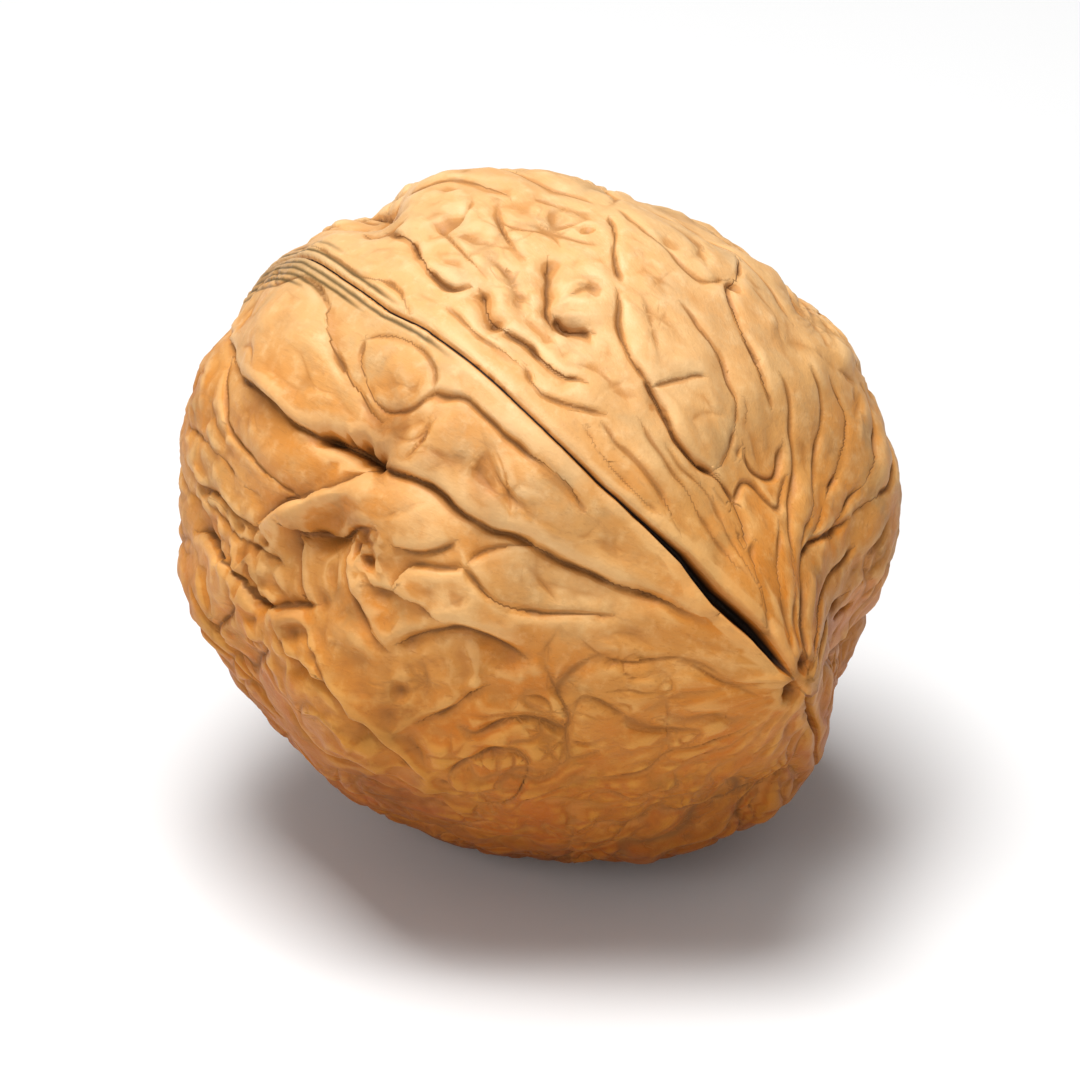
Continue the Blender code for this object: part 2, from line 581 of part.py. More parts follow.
def nut_radius(directions):
    """The distance from the nut's centre to its surface in each direction."""
    ball = directions * MEAN_RADIUS
    form = egg(directions)
    for height, length, seed in FORM_WAVES:
        form += height * waves(ball, length, seed)
    turn, offset = seam_place(directions)
    groove, sides = seam(turn, offset)
    drawn = np.zeros(len(directions))
    for values in SWELLS:
        sides = sides + swell(directions, *values)
    for values in CREASES:
        cut, beside, closeness = crease(directions, *values)
        groove = np.minimum(groove, cut)
        sides = sides + beside
        drawn = np.maximum(drawn, closeness)
    for depth, radius, pixel in PITS:
        away = np.linalg.norm(ball - lifted([pixel])[0] * MEAN_RADIUS, axis=1)
        groove = np.minimum(groove, -depth * bump(away, max(radius, PIT_NARROWEST)))
    underneath = bump(np.arccos(np.clip(-directions[:, 2], -1.0, 1.0)) * MEAN_RADIUS, REST_SPREAD)
    free = (1.0 - drawn) * (1.0 - bump(offset, SEAM_REACH)) * (1.0 - underneath)
    relief = [net(directions, *NET)]
    relief += [folds(directions, *values) for values in FOLDS]
    for cut, crowns in relief:
        groove = np.minimum(groove, cut * free)
        sides = sides + crowns * free
    return form + sides + groove + pocks(directions) * free


def sphere_of_squares(grid):
    """Directions over the whole sphere, in an even grid on each face of a cube, and the grid's squares."""
    ticks = np.tan(np.linspace(-math.pi / 4.0, math.pi / 4.0, grid + 1))
    u, v = (a.ravel() for a in np.meshgrid(ticks, ticks, indexing="ij"))
    ones = np.ones_like(u)
    sides = []
    for axis in range(3):
        for sign in (1.0, -1.0):
            face = np.empty((len(u), 3))
            face[:, axis], face[:, (axis + 1) % 3], face[:, (axis + 2) % 3] = sign * ones, u * sign, v
            sides.append(face)
    points = np.concatenate(sides)
    directions = points / np.linalg.norm(points, axis=1, keepdims=True)
    corner = (np.arange(grid)[:, None] * (grid + 1) + np.arange(grid)[None]).ravel()
    square = np.stack([corner, corner + grid + 1, corner + grid + 2, corner + 1], axis=1)
    squares = np.concatenate([square + side * len(u) for side in range(6)])
    return directions, squares


def nut_mesh(grid):
    directions, squares = sphere_of_squares(grid)
    points = directions * nut_radius(directions)[:, None] + (0.0, 0.0, REST_HEIGHT)
    mesh = bpy.data.meshes.new("walnut")
    mesh.from_pydata((points * MM).tolist(), [], squares.tolist())
    shape = bmesh.new()
    shape.from_mesh(mesh)
    bmesh.ops.remove_doubles(shape, verts=shape.verts, dist=0.001 * MM)
    bmesh.ops.recalc_face_normals(shape, faces=shape.faces)
    shape.to_mesh(mesh)
    shape.free()
    mesh.shade_smooth()
    return mesh


def shell_material():
    """Dry, matt, light brown shell."""
    material = bpy.data.materials.new("shell")
    material.use_nodes = True
    surface = material.node_tree.nodes["Principled BSDF"]
    surface.inputs["Base Color"].default_value = (0.62, 0.33, 0.12, 1.0)
    surface.inputs["Roughness"].default_value = 0.55
    surface.inputs["Metallic"].default_value = 0.0
    return material


def below_the_surface():
    """A block whose top face is the surface that the nut lies on. It cuts the flat spot."""
    mesh = bpy.data.meshes.new("below_the_surface")
    shape = bmesh.new()
    bmesh.ops.create_cube(shape, size=BLOCK_SIDE * MM)
    bmesh.ops.translate(shape, verts=shape.verts, vec=(0.0, 0.0, -0.5 * BLOCK_SIDE * MM))
    shape.to_mesh(mesh)
    shape.free()
    block = bpy.data.objects.new("below_the_surface", mesh)
    block.hide_render = True
    block.display_type = "WIRE"
    return block


def build():
    for obj in list(bpy.data.objects):
        bpy.data.objects.remove(obj)
    mesh = nut_mesh(GRID)
    mesh.materials.append(shell_material())
    nut = bpy.data.objects.new("walnut", mesh)
    block = below_the_surface()
    bpy.context.scene.collection.objects.link(nut)
    bpy.context.scene.collection.objects.link(block)
    thin = nut.modifiers.new("Fewer facets", "DECIMATE")
    thin.ratio = FACETS / (2 * len(mesh.polygons))
    thin.use_collapse_triangulate = True
    flat = nut.modifiers.new("Flat spot", "BOOLEAN")
    flat.operation = "DIFFERENCE"
    flat.solver = "EXACT"
    flat.object = block


build()
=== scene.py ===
"""The walnut as it looks: its creased shell at full detail with its material, on white paper in soft light.

The shell's surface is worked out as part.py works out the solid, as a distance from the nut's centre in
every direction, and here with finer creases. Lengths are in millimetres until a mesh is made.
"""

import math

import bmesh
import bpy
import numpy as np
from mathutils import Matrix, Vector


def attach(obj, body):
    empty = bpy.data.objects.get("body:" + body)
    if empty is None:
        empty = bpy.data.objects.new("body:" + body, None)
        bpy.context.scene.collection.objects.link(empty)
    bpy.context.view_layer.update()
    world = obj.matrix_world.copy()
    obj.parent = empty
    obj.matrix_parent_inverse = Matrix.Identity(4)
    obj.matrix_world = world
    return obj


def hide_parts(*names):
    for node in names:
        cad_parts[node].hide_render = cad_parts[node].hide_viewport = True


MM = 0.001

# Driving dimensions
LENGTH = 38.4  # from the base to the foot of the beak
SEAM_WIDTH = 37.2  # across the two seams
CHEEK_WIDTH = 35.6  # across the round backs of the two halves
BEAK_RISE = 1.4  # how far the tip's point stands out
BEAK_SPREAD = 9.0  # degrees from the tip over which the beak falls away
BEAK_FALL = 1.3  # how steeply it does
TAPERS = (  # how much the ends draw in: rise, degrees from the tip, spread in degrees
    (-0.45, 30.0, 18.0),
    (-0.5, 180.0, 26.0),
    (-0.5, 180.0, 5.0),
)
FORM_WAVES = ((0.28, 17.0, 1), (0.13, 7.5, 2))  # how uneven the form is: height, length, seed
REST_HEIGHT = 18.2  # from the nut's centre down to the surface that it lies on
REST_SPREAD = 4.5  # the net fades this near to the middle of the flat spot
MEAN_RADIUS = 18.5

# The front drawing: a picture of 1080 x 1080 pixels, seen from above the horizon at the distance below
VIEW_ELEVATION = 27.0  # degrees
VIEW_DISTANCE = 350.0
PIXEL = 0.104  # millimetres at the nut's centre
CENTRE_PIXEL = (474.0, 505.0)

# Directions in the drawing: right, up, and out towards the viewer
TIP_DIRECTION = (0.623, -0.380, 0.684)
CHEEK_DIRECTION = (-0.655, -0.725, 0.210)

# The seam's line on the front, from the gap beside the tip to the base end, in pixels of the drawing
SEAM_DRAWN = (
    (591, 577), (578, 560), (560, 544), (544, 524), (526, 508), (503, 488), (479, 465), (454, 441),
    (435, 425), (417, 411), (399, 402), (382, 390), (363, 379), (345, 374),
)

# Creases drawn on the front: depth, half width, how much higher the side on the left of the stroke stands,
# and the stroke's points in pixels of the front drawing
CREASES = (
    # The valley between the shoulder of the seam and the lower cheek, the dark pit in it, and its end
    (0.50, 0.16, 0.45,
     ((333, 389), (326, 398), (321, 409), (324, 422), (331, 437), (341, 450), (353, 458))),
    (0.55, 0.14, 0.45,
     ((331, 437), (341, 450), (353, 458), (366, 466), (380, 474), (394, 480), (408, 486), (423, 494),
      (438, 504), (450, 512))),
    (2.00, 0.34, 0.1, ((359, 461), (367, 465), (376, 470), (384, 475), (393, 479))),
    (0.62, 0.18, 0.30,
     ((438, 504), (450, 512), (460, 514), (477, 521), (488, 528), (500, 535), (514, 539), (529, 542),
      (542, 548), (555, 551), (562, 549))),
    # The big lobe, the disc beside it and the crease that runs on along the shoulder
    (0.31, 0.14, -0.15,
     ((360, 391), (369, 398), (373, 407), (372, 417), (374, 427), (380, 436), (386, 448), (393, 455))),
    (0.25, 0.12, 0.0,
     ((387, 416), (384, 425), (385, 436), (391, 447), (399, 452), (411, 451), (423, 443))),
    (0.20, 0.12, 0.0, ((387, 416), (395, 413), (406, 416), (417, 423), (424, 434), (423, 443))),
    (0.31, 0.14, 0.2,
     ((418, 447), (423, 443), (429, 445), (438, 446), (445, 453), (454, 463), (460, 469), (469, 476),
      (480, 482), (486, 490), (493, 501))),
    # Fine lines beside the seam at the base end
    (0.20, 0.11, 0.0, ((341, 387), (349, 389), (357, 391), (365, 396), (372, 401))),
    (0.21, 0.11, 0.0,
     ((352, 367), (359, 370), (368, 374), (378, 379), (388, 385), (400, 393), (412, 402))),
    # Creases along the seam on the upper cheek
    (0.60, 0.30, 0.2, ((442, 392), (446, 398), (451, 404), (457, 409))),
    (0.42, 0.16, 0.3, ((454, 407), (464, 417), (474, 426), (484, 434), (495, 437))),
    (0.22, 0.12, 0.1, ((465, 432), (470, 441), (477, 447), (489, 453), (504, 453))),
    (0.18, 0.11, 0.0, ((505, 459), (512, 467), (522, 476), (530, 488), (537, 503), (541, 513))),
    (0.17, 0.11, 0.0,
     ((523, 457), (530, 470), (538, 482), (547, 496), (553, 505), (560, 513), (567, 524), (572, 533))),
    (0.14, 0.11, 0.0,
     ((536, 470), (543, 481), (552, 490), (561, 501), (568, 512), (575, 528), (582, 545))),
    (0.14, 0.11, 0.0, ((496, 462), (506, 474), (515, 484), (524, 495), (530, 503))),
    (0.17, 0.11, 0.1, ((430, 402), (441, 411), (452, 419), (463, 431))),
    # The big plate of the upper cheek
    (0.25, 0.13, 0.0, ((510, 355), (511, 364), (512, 373), (516, 385))),
    (0.28, 0.14, 0.15, ((513, 392), (515, 404), (518, 417), (524, 427), (532, 439))),
    (0.55, 0.17, 0.22,
     ((530, 436), (534, 447), (537, 457), (541, 464), (547, 471), (556, 480), (564, 485))),
    (0.31, 0.13, 0.0, ((558, 481), (566, 488), (572, 497), (576, 508), (579, 520))),
    (0.22, 0.12, 0.0,
     ((562, 483), (570, 479), (575, 465), (577, 449), (572, 434), (566, 420), (555, 406), (545, 396))),
    (0.18, 0.11, 0.08, ((533, 441), (539, 438), (544, 435), (556, 434))),
    (0.13, 0.11, 0.0, ((580, 443), (583, 452), (582, 464), (578, 474))),
    # Long cells between the plate and the right edge
    (0.34, 0.14, 0.0,
     ((571, 375), (573, 386), (567, 391), (575, 403), (582, 420), (589, 434), (594, 446))),
    (0.25, 0.12, 0.0,
     ((582, 450), (582, 462), (584, 474), (588, 482), (596, 486), (600, 480), (601, 466))),
    (0.25, 0.12, 0.0,
     ((571, 500), (573, 494), (578, 487), (586, 487), (590, 495), (596, 502), (600, 495), (603, 484))),
    (0.21, 0.12, 0.0,
     ((598, 434), (603, 449), (606, 466), (607, 482), (604, 497), (601, 512), (600, 528))),
    (0.25, 0.12, 0.0,
     ((609, 430), (614, 446), (617, 462), (618, 478), (616, 492), (612, 506), (607, 522))),
    (0.31, 0.13, 0.0, ((619, 438), (625, 451), (628, 466), (626, 482), (621, 497), (615, 511))),
    (0.31, 0.13, 0.0, ((630, 439), (636, 453), (638, 468), (636, 484), (631, 499), (624, 512))),
    (0.28, 0.13, 0.0, ((641, 450), (646, 464), (645, 479), (640, 492), (634, 505))),
    # The fan of creases that runs into the tip
    (0.42, 0.14, 0.0,
     ((604, 577), (602, 565), (602, 553), (602, 540), (607, 524), (618, 514), (632, 507))),
    (0.39, 0.14, 0.0,
     ((606, 573), (609, 562), (612, 553), (617, 546), (622, 539), (628, 530), (634, 520))),
    (0.42, 0.14, 0.0, ((610, 581), (614, 575), (619, 569), (627, 560), (637, 550))),
    (0.31, 0.13, 0.0, ((607, 577), (614, 567), (622, 557), (633, 543))),
    (0.17, 0.11, 0.0, ((584, 566), (583, 555), (583, 546), (580, 534), (581, 519))),
    (0.17, 0.11, 0.0, ((595, 568), (592, 552), (590, 536), (592, 520), (594, 508))),
    (0.17, 0.11, 0.0, ((599, 570), (597, 554), (597, 538), (599, 522))),
    # The brow at the top
    (0.42, 0.14, 0.18,
     ((398, 361), (405, 363), (411, 367), (417, 377), (423, 386), (430, 391), (436, 390))),
    (0.22, 0.14, 0.0, ((384, 362), (391, 364), (399, 361), (407, 357))),
    (0.21, 0.22, 0.15, ((392, 348), (403, 341), (415, 342), (430, 342), (443, 342), (458, 347))),
    (0.14, 0.14, 0.0, ((443, 333), (464, 338), (480, 341), (497, 346))),
    (0.17, 0.14, 0.0, ((515, 352), (535, 371), (546, 381), (558, 387), (570, 386))),
    (0.17, 0.14, 0.0, ((535, 351), (556, 361), (573, 374), (590, 392), (602, 410))),
    (0.34, 0.34, -0.18, ((477, 374), (479, 384), (480, 393), (479, 400), (481, 407))),
    (0.60, 0.26, 0.3, ((484, 403), (486, 409), (491, 412), (499, 411))),
    # The fold and the steps of the lower cheek
    (0.56, 0.19, -0.75,
     ((325, 505), (336, 499), (348, 493), (358, 490), (368, 488), (380, 484), (388, 478))),
    (0.45, 0.23, 0.75, ((339, 506), (344, 511), (356, 515), (367, 515), (378, 510), (388, 511))),
    (0.25, 0.12, -0.1,
     ((321, 425), (318, 438), (318, 448), (319, 459), (324, 470), (330, 479), (338, 486), (345, 492))),
    (0.21, 0.12, 0.0, ((301, 458), (306, 467), (312, 475), (320, 486), (326, 492))),
    (0.31, 0.16, 0.3, ((296, 475), (300, 484), (306, 493), (316, 503), (326, 509))),
    (0.45, 0.15, -0.60,
     ((297, 509), (305, 518), (312, 527), (319, 535), (327, 546), (338, 552), (356, 549))),
    (0.36, 0.17, 0.35, ((375, 516), (373, 528), (373, 539), (381, 550), (389, 563), (397, 572))),
    (0.32, 0.15, 0.35, ((343, 512), (345, 522), (346, 532), (347, 542), (352, 549))),
    (0.24, 0.12, 0.20, ((303, 497), (310, 507), (319, 516), (329, 523), (337, 530))),
    (0.20, 0.14, 0.15, ((354, 566), (362, 577), (370, 588), (380, 598), (390, 605))),
    (0.25, 0.13, -0.35, ((397, 540), (403, 535), (409, 531), (419, 529), (434, 529))),
    (0.31, 0.14, -0.15,
     ((433, 529), (443, 539), (452, 545), (463, 552), (477, 554), (496, 554), (508, 553))),
    (0.21, 0.12, -0.2, ((436, 527), (447, 522), (460, 519), (472, 519))),
    (0.28, 0.13, 0.25, ((399, 522), (405, 523), (411, 524), (418, 522), (425, 518), (431, 515))),
    (0.17, 0.12, 0.30, ((384, 537), (394, 541), (404, 546), (414, 552), (426, 560))),
    (0.53, 0.36, 0.45, ((402, 569), (412, 565), (422, 563), (436, 563), (448, 567), (463, 574))),
    (0.34, 0.17, 0.2, ((414, 608), (420, 606), (428, 602), (436, 596), (448, 592))),
    (0.50, 0.19, 0.4,
     ((338, 559), (343, 567), (349, 577), (360, 584), (373, 591), (381, 602), (395, 610), (404, 622),
      (414, 632))),
    (0.50, 0.22, 0.35,
     ((347, 604), (355, 612), (362, 618), (374, 625), (386, 627), (397, 634), (412, 641), (430, 646))),
)

# Swells and hollows on the front: height, half length, half width, the angle of the long side in degrees
# above the picture's right (None where it runs over the horizon, straight away from the viewer), and the
# place in pixels of the front drawing
SWELLS = (
    (0.80, 4.6, 3.0, -62, (347, 421)),  # the big lobe at the base end of the shoulder
    (-0.12, 1.3, 0.9, -80, (352, 415)),  # its shallow dent
    (0.18, 2.0, 1.8, 0, (404, 432)),  # the disc
    (0.35, 7.5, 2.6, -42, (455, 487)),  # the shoulder's flat
    (-0.14, 2.6, 1.3, -30, (440, 468)),  # the dent beside the shoulder's crease
    (0.60, 4.5, 3.2, -20, (422, 348)),  # the brow
    (-0.30, 3.6, 2.4, -60, (482, 396)),  # the pitted hollow
    (0.30, 1.8, 0.9, -80, (490, 392)),  # the lump in it
    (0.22, 2.2, 1.6, -70, (435, 370)),  # the smooth swell beside the brow's crease
    (0.40, 5.0, 3.2, -65, (550, 447)),  # the big plate
    (0.70, 3.0, 0.8, 14, (352, 498)),  # the fold of the lower cheek
    (-0.85, 1.9, 1.1, 12, (361, 511)),  # the hollow under the fold
    (-0.35, 2.8, 1.6, -80, (360, 530)),  # and the flat face below it
    (0.40, 4.2, 2.0, -25, (404, 507)),  # the cheek above the net
    (0.22, 3.0, 1.6, -30, (436, 545)),  # the leaf-shaped plate
    (-0.40, 3.6, 2.6, -60, (352, 540)),  # the flat of the lower cheek
    (-0.30, 3.6, 2.4, 0, (410, 582)),  # the hollow over the small pit
    (0.85, 8.0, 5.5, 80, (655, 475)),  # the full side of the upper cheek
    (0.30, 6.0, 4.5, None, (606, 384)),  # and its corner at the top
    (-1.35, 6.0, 1.6, None, (388, 345)),  # the notch between the shoulder and the brow
    (0.60, 2.5, 4.0, 60, (303, 430)),  # the corner over the lower cheek
    (-0.85, 8.0, 3.4, None, (288, 500)),  # the flatter flank below it
    (-0.70, 7.0, 4.0, None, (410, 668)),  # the underside
    (-1.00, 7.0, 3.6, None, (633, 574)),  # the drawn-in side of the tip
)

# Small pits on the front: depth, radius, and the place in pixels of the front drawing
PITS = (
    (1.70, 0.55, (372, 466)),
    (2.20, 0.72, (380, 471)),
    (2.00, 0.66, (388, 476)),
    (0.70, 0.42, (453, 406)),
    (0.50, 0.42, (446, 397)),
    (0.60, 0.42, (488, 411)),
    (0.35, 0.50, (499, 388)),
    (0.45, 0.40, (497, 360)),
    (0.22, 0.70, (537, 368)),
    (0.20, 0.70, (526, 379)),
    (0.55, 0.38, (572, 389)),
    (0.55, 0.50, (404, 593)),
    (0.35, 0.40, (359, 548)),
    (0.38, 0.45, (329, 518)),
    (0.30, 0.40, (316, 508)),
    (0.55, 0.45, (381, 520)),
    (1.20, 0.48, (596, 587)),
    (1.30, 0.50, (606, 595)),
    (0.90, 0.42, (602, 576)),
    (0.35, 0.35, (532, 450)),
)

# Rough patches on the front: height, length of the lumps, radius of the patch, place in the drawing, seed
ROUGH_PATCHES = (
    (0.07, 2.2, 3.6, (480, 396), 81),
    (0.24, 1.8, 2.6, (320, 532), 84),
    (0.26, 1.2, 1.2, (383, 524), 87),
    (0.12, 1.8, 2.4, (630, 432), 90),
    (0.08, 2.4, 4.0, (440, 352), 93),
    (0.10, 2.0, 3.0, (306, 455), 96),
    (0.12, 2.2, 3.4, (440, 585), 99),
    (0.28, 2.6, 3.8, (340, 560), 102),
    (0.22, 3.0, 5.0, (402, 624), 105),
    (0.18, 2.4, 3.4, (306, 486), 108),
    (0.10, 2.6, 3.0, (400, 545), 111),
    (0.07, 2.4, 3.6, (392, 462), 114),
)

# Soft brown patches on the front, partly real stains and partly painted shade (after the pit, in the hollow
# under the fold, on the shaded side by the tip and low down near the underside), and pale patches, partly
# paler shell and partly painted light: strength, radius, place in the drawing
STAIN_AND_SHADE_PATCHES = (
    (0.75, 0.8, (353, 369)),
    (0.60, 1.1, (340, 382)),
    (0.35, 1.0, (352, 411)),
    (0.70, 1.8, (400, 461)),
    (0.45, 1.5, (421, 476)),
    (0.35, 1.3, (446, 492)),
    (0.65, 0.8, (397, 478)),
    (0.40, 1.6, (330, 452)),
    (0.60, 0.8, (344, 511)),
    (0.70, 0.7, (379, 506)),
    (0.55, 0.7, (385, 518)),
    (0.50, 1.5, (322, 526)),
    (0.25, 2.4, (352, 534)),
    (0.20, 2.0, (374, 500)),
    (0.45, 1.2, (345, 556)),
    (0.45, 1.0, (372, 548)),
    (0.50, 0.8, (436, 572)),
    (0.40, 0.8, (400, 359)),
    (0.55, 0.7, (452, 405)),
    (0.55, 0.7, (487, 407)),
    (0.35, 0.8, (480, 384)),
    (0.40, 0.7, (532, 446)),
    (0.70, 0.9, (603, 575)),
    (0.90, 0.8, (604, 592)),
    (0.75, 0.6, (597, 581)),
    (0.70, 0.6, (609, 597)),
    (0.55, 1.8, (626, 560)),
    (0.45, 1.4, (612, 548)),
    (0.35, 2.4, (400, 602)),
    (0.60, 4.0, (396, 645)),
    (0.40, 2.0, (305, 438)),
    (0.12, 4.2, (428, 352)),
)
# Pale patches: painted light on plates that face the lamp and on the fold's rim, partly paler shell
PALE_AND_LIT_PATCHES = (
    (0.55, 1.9, (418, 503)),
    (0.60, 1.7, (432, 548)),
    (0.60, 2.4, (500, 542)),
    (0.28, 4.5, (552, 440)),
    (0.22, 3.0, (345, 415)),
    (0.40, 1.4, (462, 528)),
    (0.45, 0.6, (350, 494)),
    (0.40, 0.5, (368, 491)),
    (0.35, 0.7, (392, 536)),
    (0.30, 1.6, (330, 470)),
)

# How far the seam stands open: degrees from the tip, and half the gap's width
GAP_SHAPE = (
    (0.0, 0.05), (2.5, 0.07), (4.2, 0.16), (8.5, 0.28), (13.0, 0.33), (19.0, 0.32), (24.0, 0.24),
    (28.0, 0.18), (33.0, 0.10), (40.0, 0.07), (60.0, 0.06), (180.0, 0.05),
)
GAP_CLOSED = 0.05  # half the seam's width where it is closed
GAP_DEEPENS = 5.5  # how much deeper the gap is for each millimetre that it is wider
HIDDEN_GAP = 0.45  # the gap on the far side of the tip, in the front's

# Where the seam runs where it isn't drawn, how high its shoulders stand, and where the drawn line ends
SEAM_SWAYS = ((0.22, 5.0, 0.6), (0.12, 11.0, 2.0))  # reach, times round, start
SEAM_RIPPLE = (0.07, 5.0, 25)  # reach, length, seed
SWAY_FROM = 40.0  # degrees from the tip from which it sways fully
DRAWN_END = 133.0  # degrees from the tip
DRAWN_FADE = 12.0
SEAM_RISE = 0.55
SEAM_RISES = ((0.35, 180.0, 55.0), (0.25, 0.0, 30.0))  # more of it: height, degrees from the tip, spread
SHOULDER_REACH = 3.0
SEAM_START = 5.0  # degrees from the tip over which the seam deepens
SEAM_LEAST = 0.15
SEAM_DEPTH = 0.30  # where it is closed
SEAM_WIDENS = 0.06  # added to half the seam's width
SEAM_EDGE = 4  # how steep the gap's edges are
SEAM_LIP = (0.05, 0.55, 0.40)  # height, place beside the seam, reach
BASE_END = 121.0  # degrees from the tip where the base end's marks are full
BASE_END_FADE = 34.0
HALF_BLEND = 0.9  # how fast the lower half begins, beyond the seam, where the material paints more shade and less light on the top

# The nets of creases all round: cell length along the meridian, cell width, crease depth, half width, seed
NETS = (
    (7.5, 4.6, 0.38, 0.26, 11),
    (3.6, 2.1, 0.17, 0.16, 23),
)
NET_WANDER = ((2.2, 0.30), (0.9, 0.10))  # how the borders stray: length and reach, in cell widths
NET_COMES_OVER = 3.0  # cell widths over which a net comes and goes
NET_SEEDS = (3, 7)  # what is added to its seed for the straying, and for the coming and going

# Ripples all over: height, length, seed
RIPPLES = ((0.050, 2.6, 3), (0.022, 1.2, 5))
RIPPLE_STRETCH = 0.6

# Long folds that wander along the meridians where nothing is drawn: spacing, crease depth, seed
FOLDS = (
    (5.2, 0.32, 31),
    (2.6, 0.20, 41),
    (1.4, 0.09, 47),
)
FOLD_STRETCH = 0.30  # a fold's width over its length
FOLD_LENGTHS = (1.6, 2.0, 2.4)  # lengths of straying, of folds, of coming and going, in spacings
FOLD_WARP = 0.22  # how far the folds stray, in spacings
FOLD_CROWN = 0.45  # how high a fold stands, in its crease's depth
FOLD_STEEP = 0.3  # how much of the fold's own field its sides take up
FOLD_PRESENCE = (0.60, 0.60, 0.0, 1.2)  # where folds come and go: mean, swing, least and most
NET_PRESENCE = (0.62, 0.55, 0.12, 1.15)
NET_CROWN = (0.35, 0.62)  # a cell's crown: height in its crease's depth, and reach in the cell's width
FOLD_WIDTH = 0.045  # a fold's crease, in spacings
FOLD_SLOPE = 3.0  # how fast the fold's field rises, for each spacing

CELL_SCATTER = 0.42  # how far a cell's centre strays from its place in its row, in cells
POLE_GIRTH = 0.30  # the barrel's radius at its two ends, in the middle's
DRAWN_REACH = 1.9  # the net and the folds fade this near to a drawn crease
SEAM_REACH = 1.6  # and this near to the seam
END_FADE = 0.14  # share of a drawn crease's length over which each end fades
END_STRENGTH = 0.35  # what is left of it at the very end
CREASE_ROUND = 0.15  # how round a crease's bottom is
LEDGE_REACH = 1.1  # a step across a crease levels out this far from it
LIP = 0.05  # how far a crease's lips stand out, in its depth
LIP_SHAPE = (2.0, 1.1)  # where the lips lie and how wide they are, in half widths
LEDGE_LEAST = 4.0  # a step levels out no nearer than this, in half widths
CREASE_END = 7.0  # nothing of a crease is left this far from it, in half widths
LINE_STRENGTH = 2.8  # how dark a drawn crease's line is for each millimetre of its depth
NET_LINE_STRENGTH = 2.0  # and a line of the net or the folds
WAVERS = ((0.12, 3.6, 61), (0.025, 1.4, 71))  # how drawn lines waver: reach, length, seed
WAVE_COUNT = 24  # plane waves in a smooth noise
WAVE_SPREAD = (0.75, 1.4)  # their lengths, in the noise's own
SWELL_EDGE = 1.3  # how steeply a swell's edge falls
POCK_PATCHES = (16.0, 52, 0.1)  # the pitted patches: spacing, seed, how strong their noise has to be
POCKS = (3.0, 51, 1.0)  # and the pits in them
POCK_MOST = 1.1
POCK_DEPTH = 0.75
PATCH_EDGE = 0.01  # a rough patch ends where less than this is left of it
LUMP_MEAN = 0.7
SMALL_LUMPS = (0.4, 0.5)  # height and length of the smaller lumps, in the larger ones'
SEAM_LINE_DEPTH = 0.16
SEAM_LINE_WIDTH = 0.13
# Fine lines beside the seam at the base end: place beside it, strength, and how many degrees from the tip
# they start
SEAM_LINES = (
    (-1.15, 0.60, 102.0),
    (-0.50, 1.00, 84.0),
    (0.42, 1.00, 70.0),
    (0.80, 1.00, 88.0),
    (1.18, 0.95, 98.0),
    (1.55, 1.00, 102.0),
    (2.00, 0.75, 109.0),
)
SEAM_LINE_FADE = 9.0  # degrees over which they begin
SEAM_LINES_END = 190.0  # degrees from the tip, by way of the front, where only a trace of them is left
SEAM_LINES_END_FADE = 42.0
SEAM_LINES_TRACE = 0.22

RIM = 0.995  # drawn points stay inside this share of the ball's outline
LIFT_ROUNDS = 4  # rounds in which drawn points settle on the plain form
CUT_ROUNDS = 2  # rounds in which a stroke's corners are cut
CUT_SHARE = 0.25  # of each of its edges
TINY = 1e-9
CHUNK = 4096  # points worked through at a time
FAR_AWAY = 9.0

GRID = 250  # squares along each edge of the cube that the sphere starts from
FACETS = 196000  # triangles in the shell
WELD = 0.001  # points nearer to each other than this are one
SPARED_REACH = 0.26  # the mesh keeps all its points this near to a drawn line
SPARED_NET_REACH = 0.12  # and this near to a line of the net
SPARED_STRENGTH = 0.28  # that is at least this strong
HOLLOW_REACHES = (("hollow_small", 0.36), ("hollow_wide", 1.5))  # how far around a hollow is seen
LINE_NAMES = ("line", "mate")  # drawn lines alternate between these, so that neighbours stay apart
MARKS = (
    "line_side", "line_near", "line_strength", "mate_side", "mate_near", "mate_strength",
    "net_side", "net_near", "net_strength",
    "seam_side", "seam_open", "seam_strength", "base_end", "lined", "from_tip", "lower_half",
    "stain_and_shade", "pale",
)

# Colours of the shell, as light reflected in red, green and blue
TAN = (0.61, 0.31, 0.092, 1.0)
ORANGE = (0.60, 0.24, 0.036, 1.0)
ROSY = (0.62, 0.335, 0.125, 1.0)
CREAM = (0.80, 0.54, 0.28, 1.0)
DUSTY = (0.46, 0.27, 0.11, 1.0)
STREAK = (0.42, 0.185, 0.05, 1.0)
BROWN = (0.34, 0.125, 0.02, 1.0)
DARK_BROWN = (0.10, 0.034, 0.008, 1.0)
LINE_BROWN = (0.15, 0.058, 0.014, 1.0)
OLIVE = (0.11, 0.068, 0.022, 1.0)
GAP_BLACK = (0.012, 0.007, 0.004, 1.0)
WARM_SHADE = (0.46, 0.17, 0.028, 1.0)
RICH_AND_SHADE_TINT = (0.82, 0.54, 0.10, 1.0)  # what the lower parts' colours are multiplied with: painted shade, partly their own richer colour
STAIN_AND_SHADE_TINT = (0.50, 0.36, 0.22, 1.0)  # and those of the stain patches, partly painted shade, and of the underside's painted shade
PAPER = (0.74, 0.74, 0.74, 1.0)

# The noises of the shell's material: name, the field that it lies in, scale, detail, roughness, distortion
NOISES = (
    ("blotch", "blotched", 0.22, 4.0, 0.60, 0.0),
    ("rose", "place", 0.55, 4.0, 0.60, 0.0),
    ("dust", "place", 0.30, 5.0, 0.62, 0.0),
    ("mottle", "place", 1.30, 4.0, 0.60, 0.0),
    ("streak", "streaked", 1.50, 4.0, 0.60, 0.4),
    ("hair", "streaked", 4.50, 3.0, 0.65, 0.6),
    ("grain", "place", 9.00, 3.0, 0.60, 0.0),
)
BLOTCH_STRETCH = 0.60  # a blotch's width over its length along the meridians
STREAK_STRETCH = 0.28
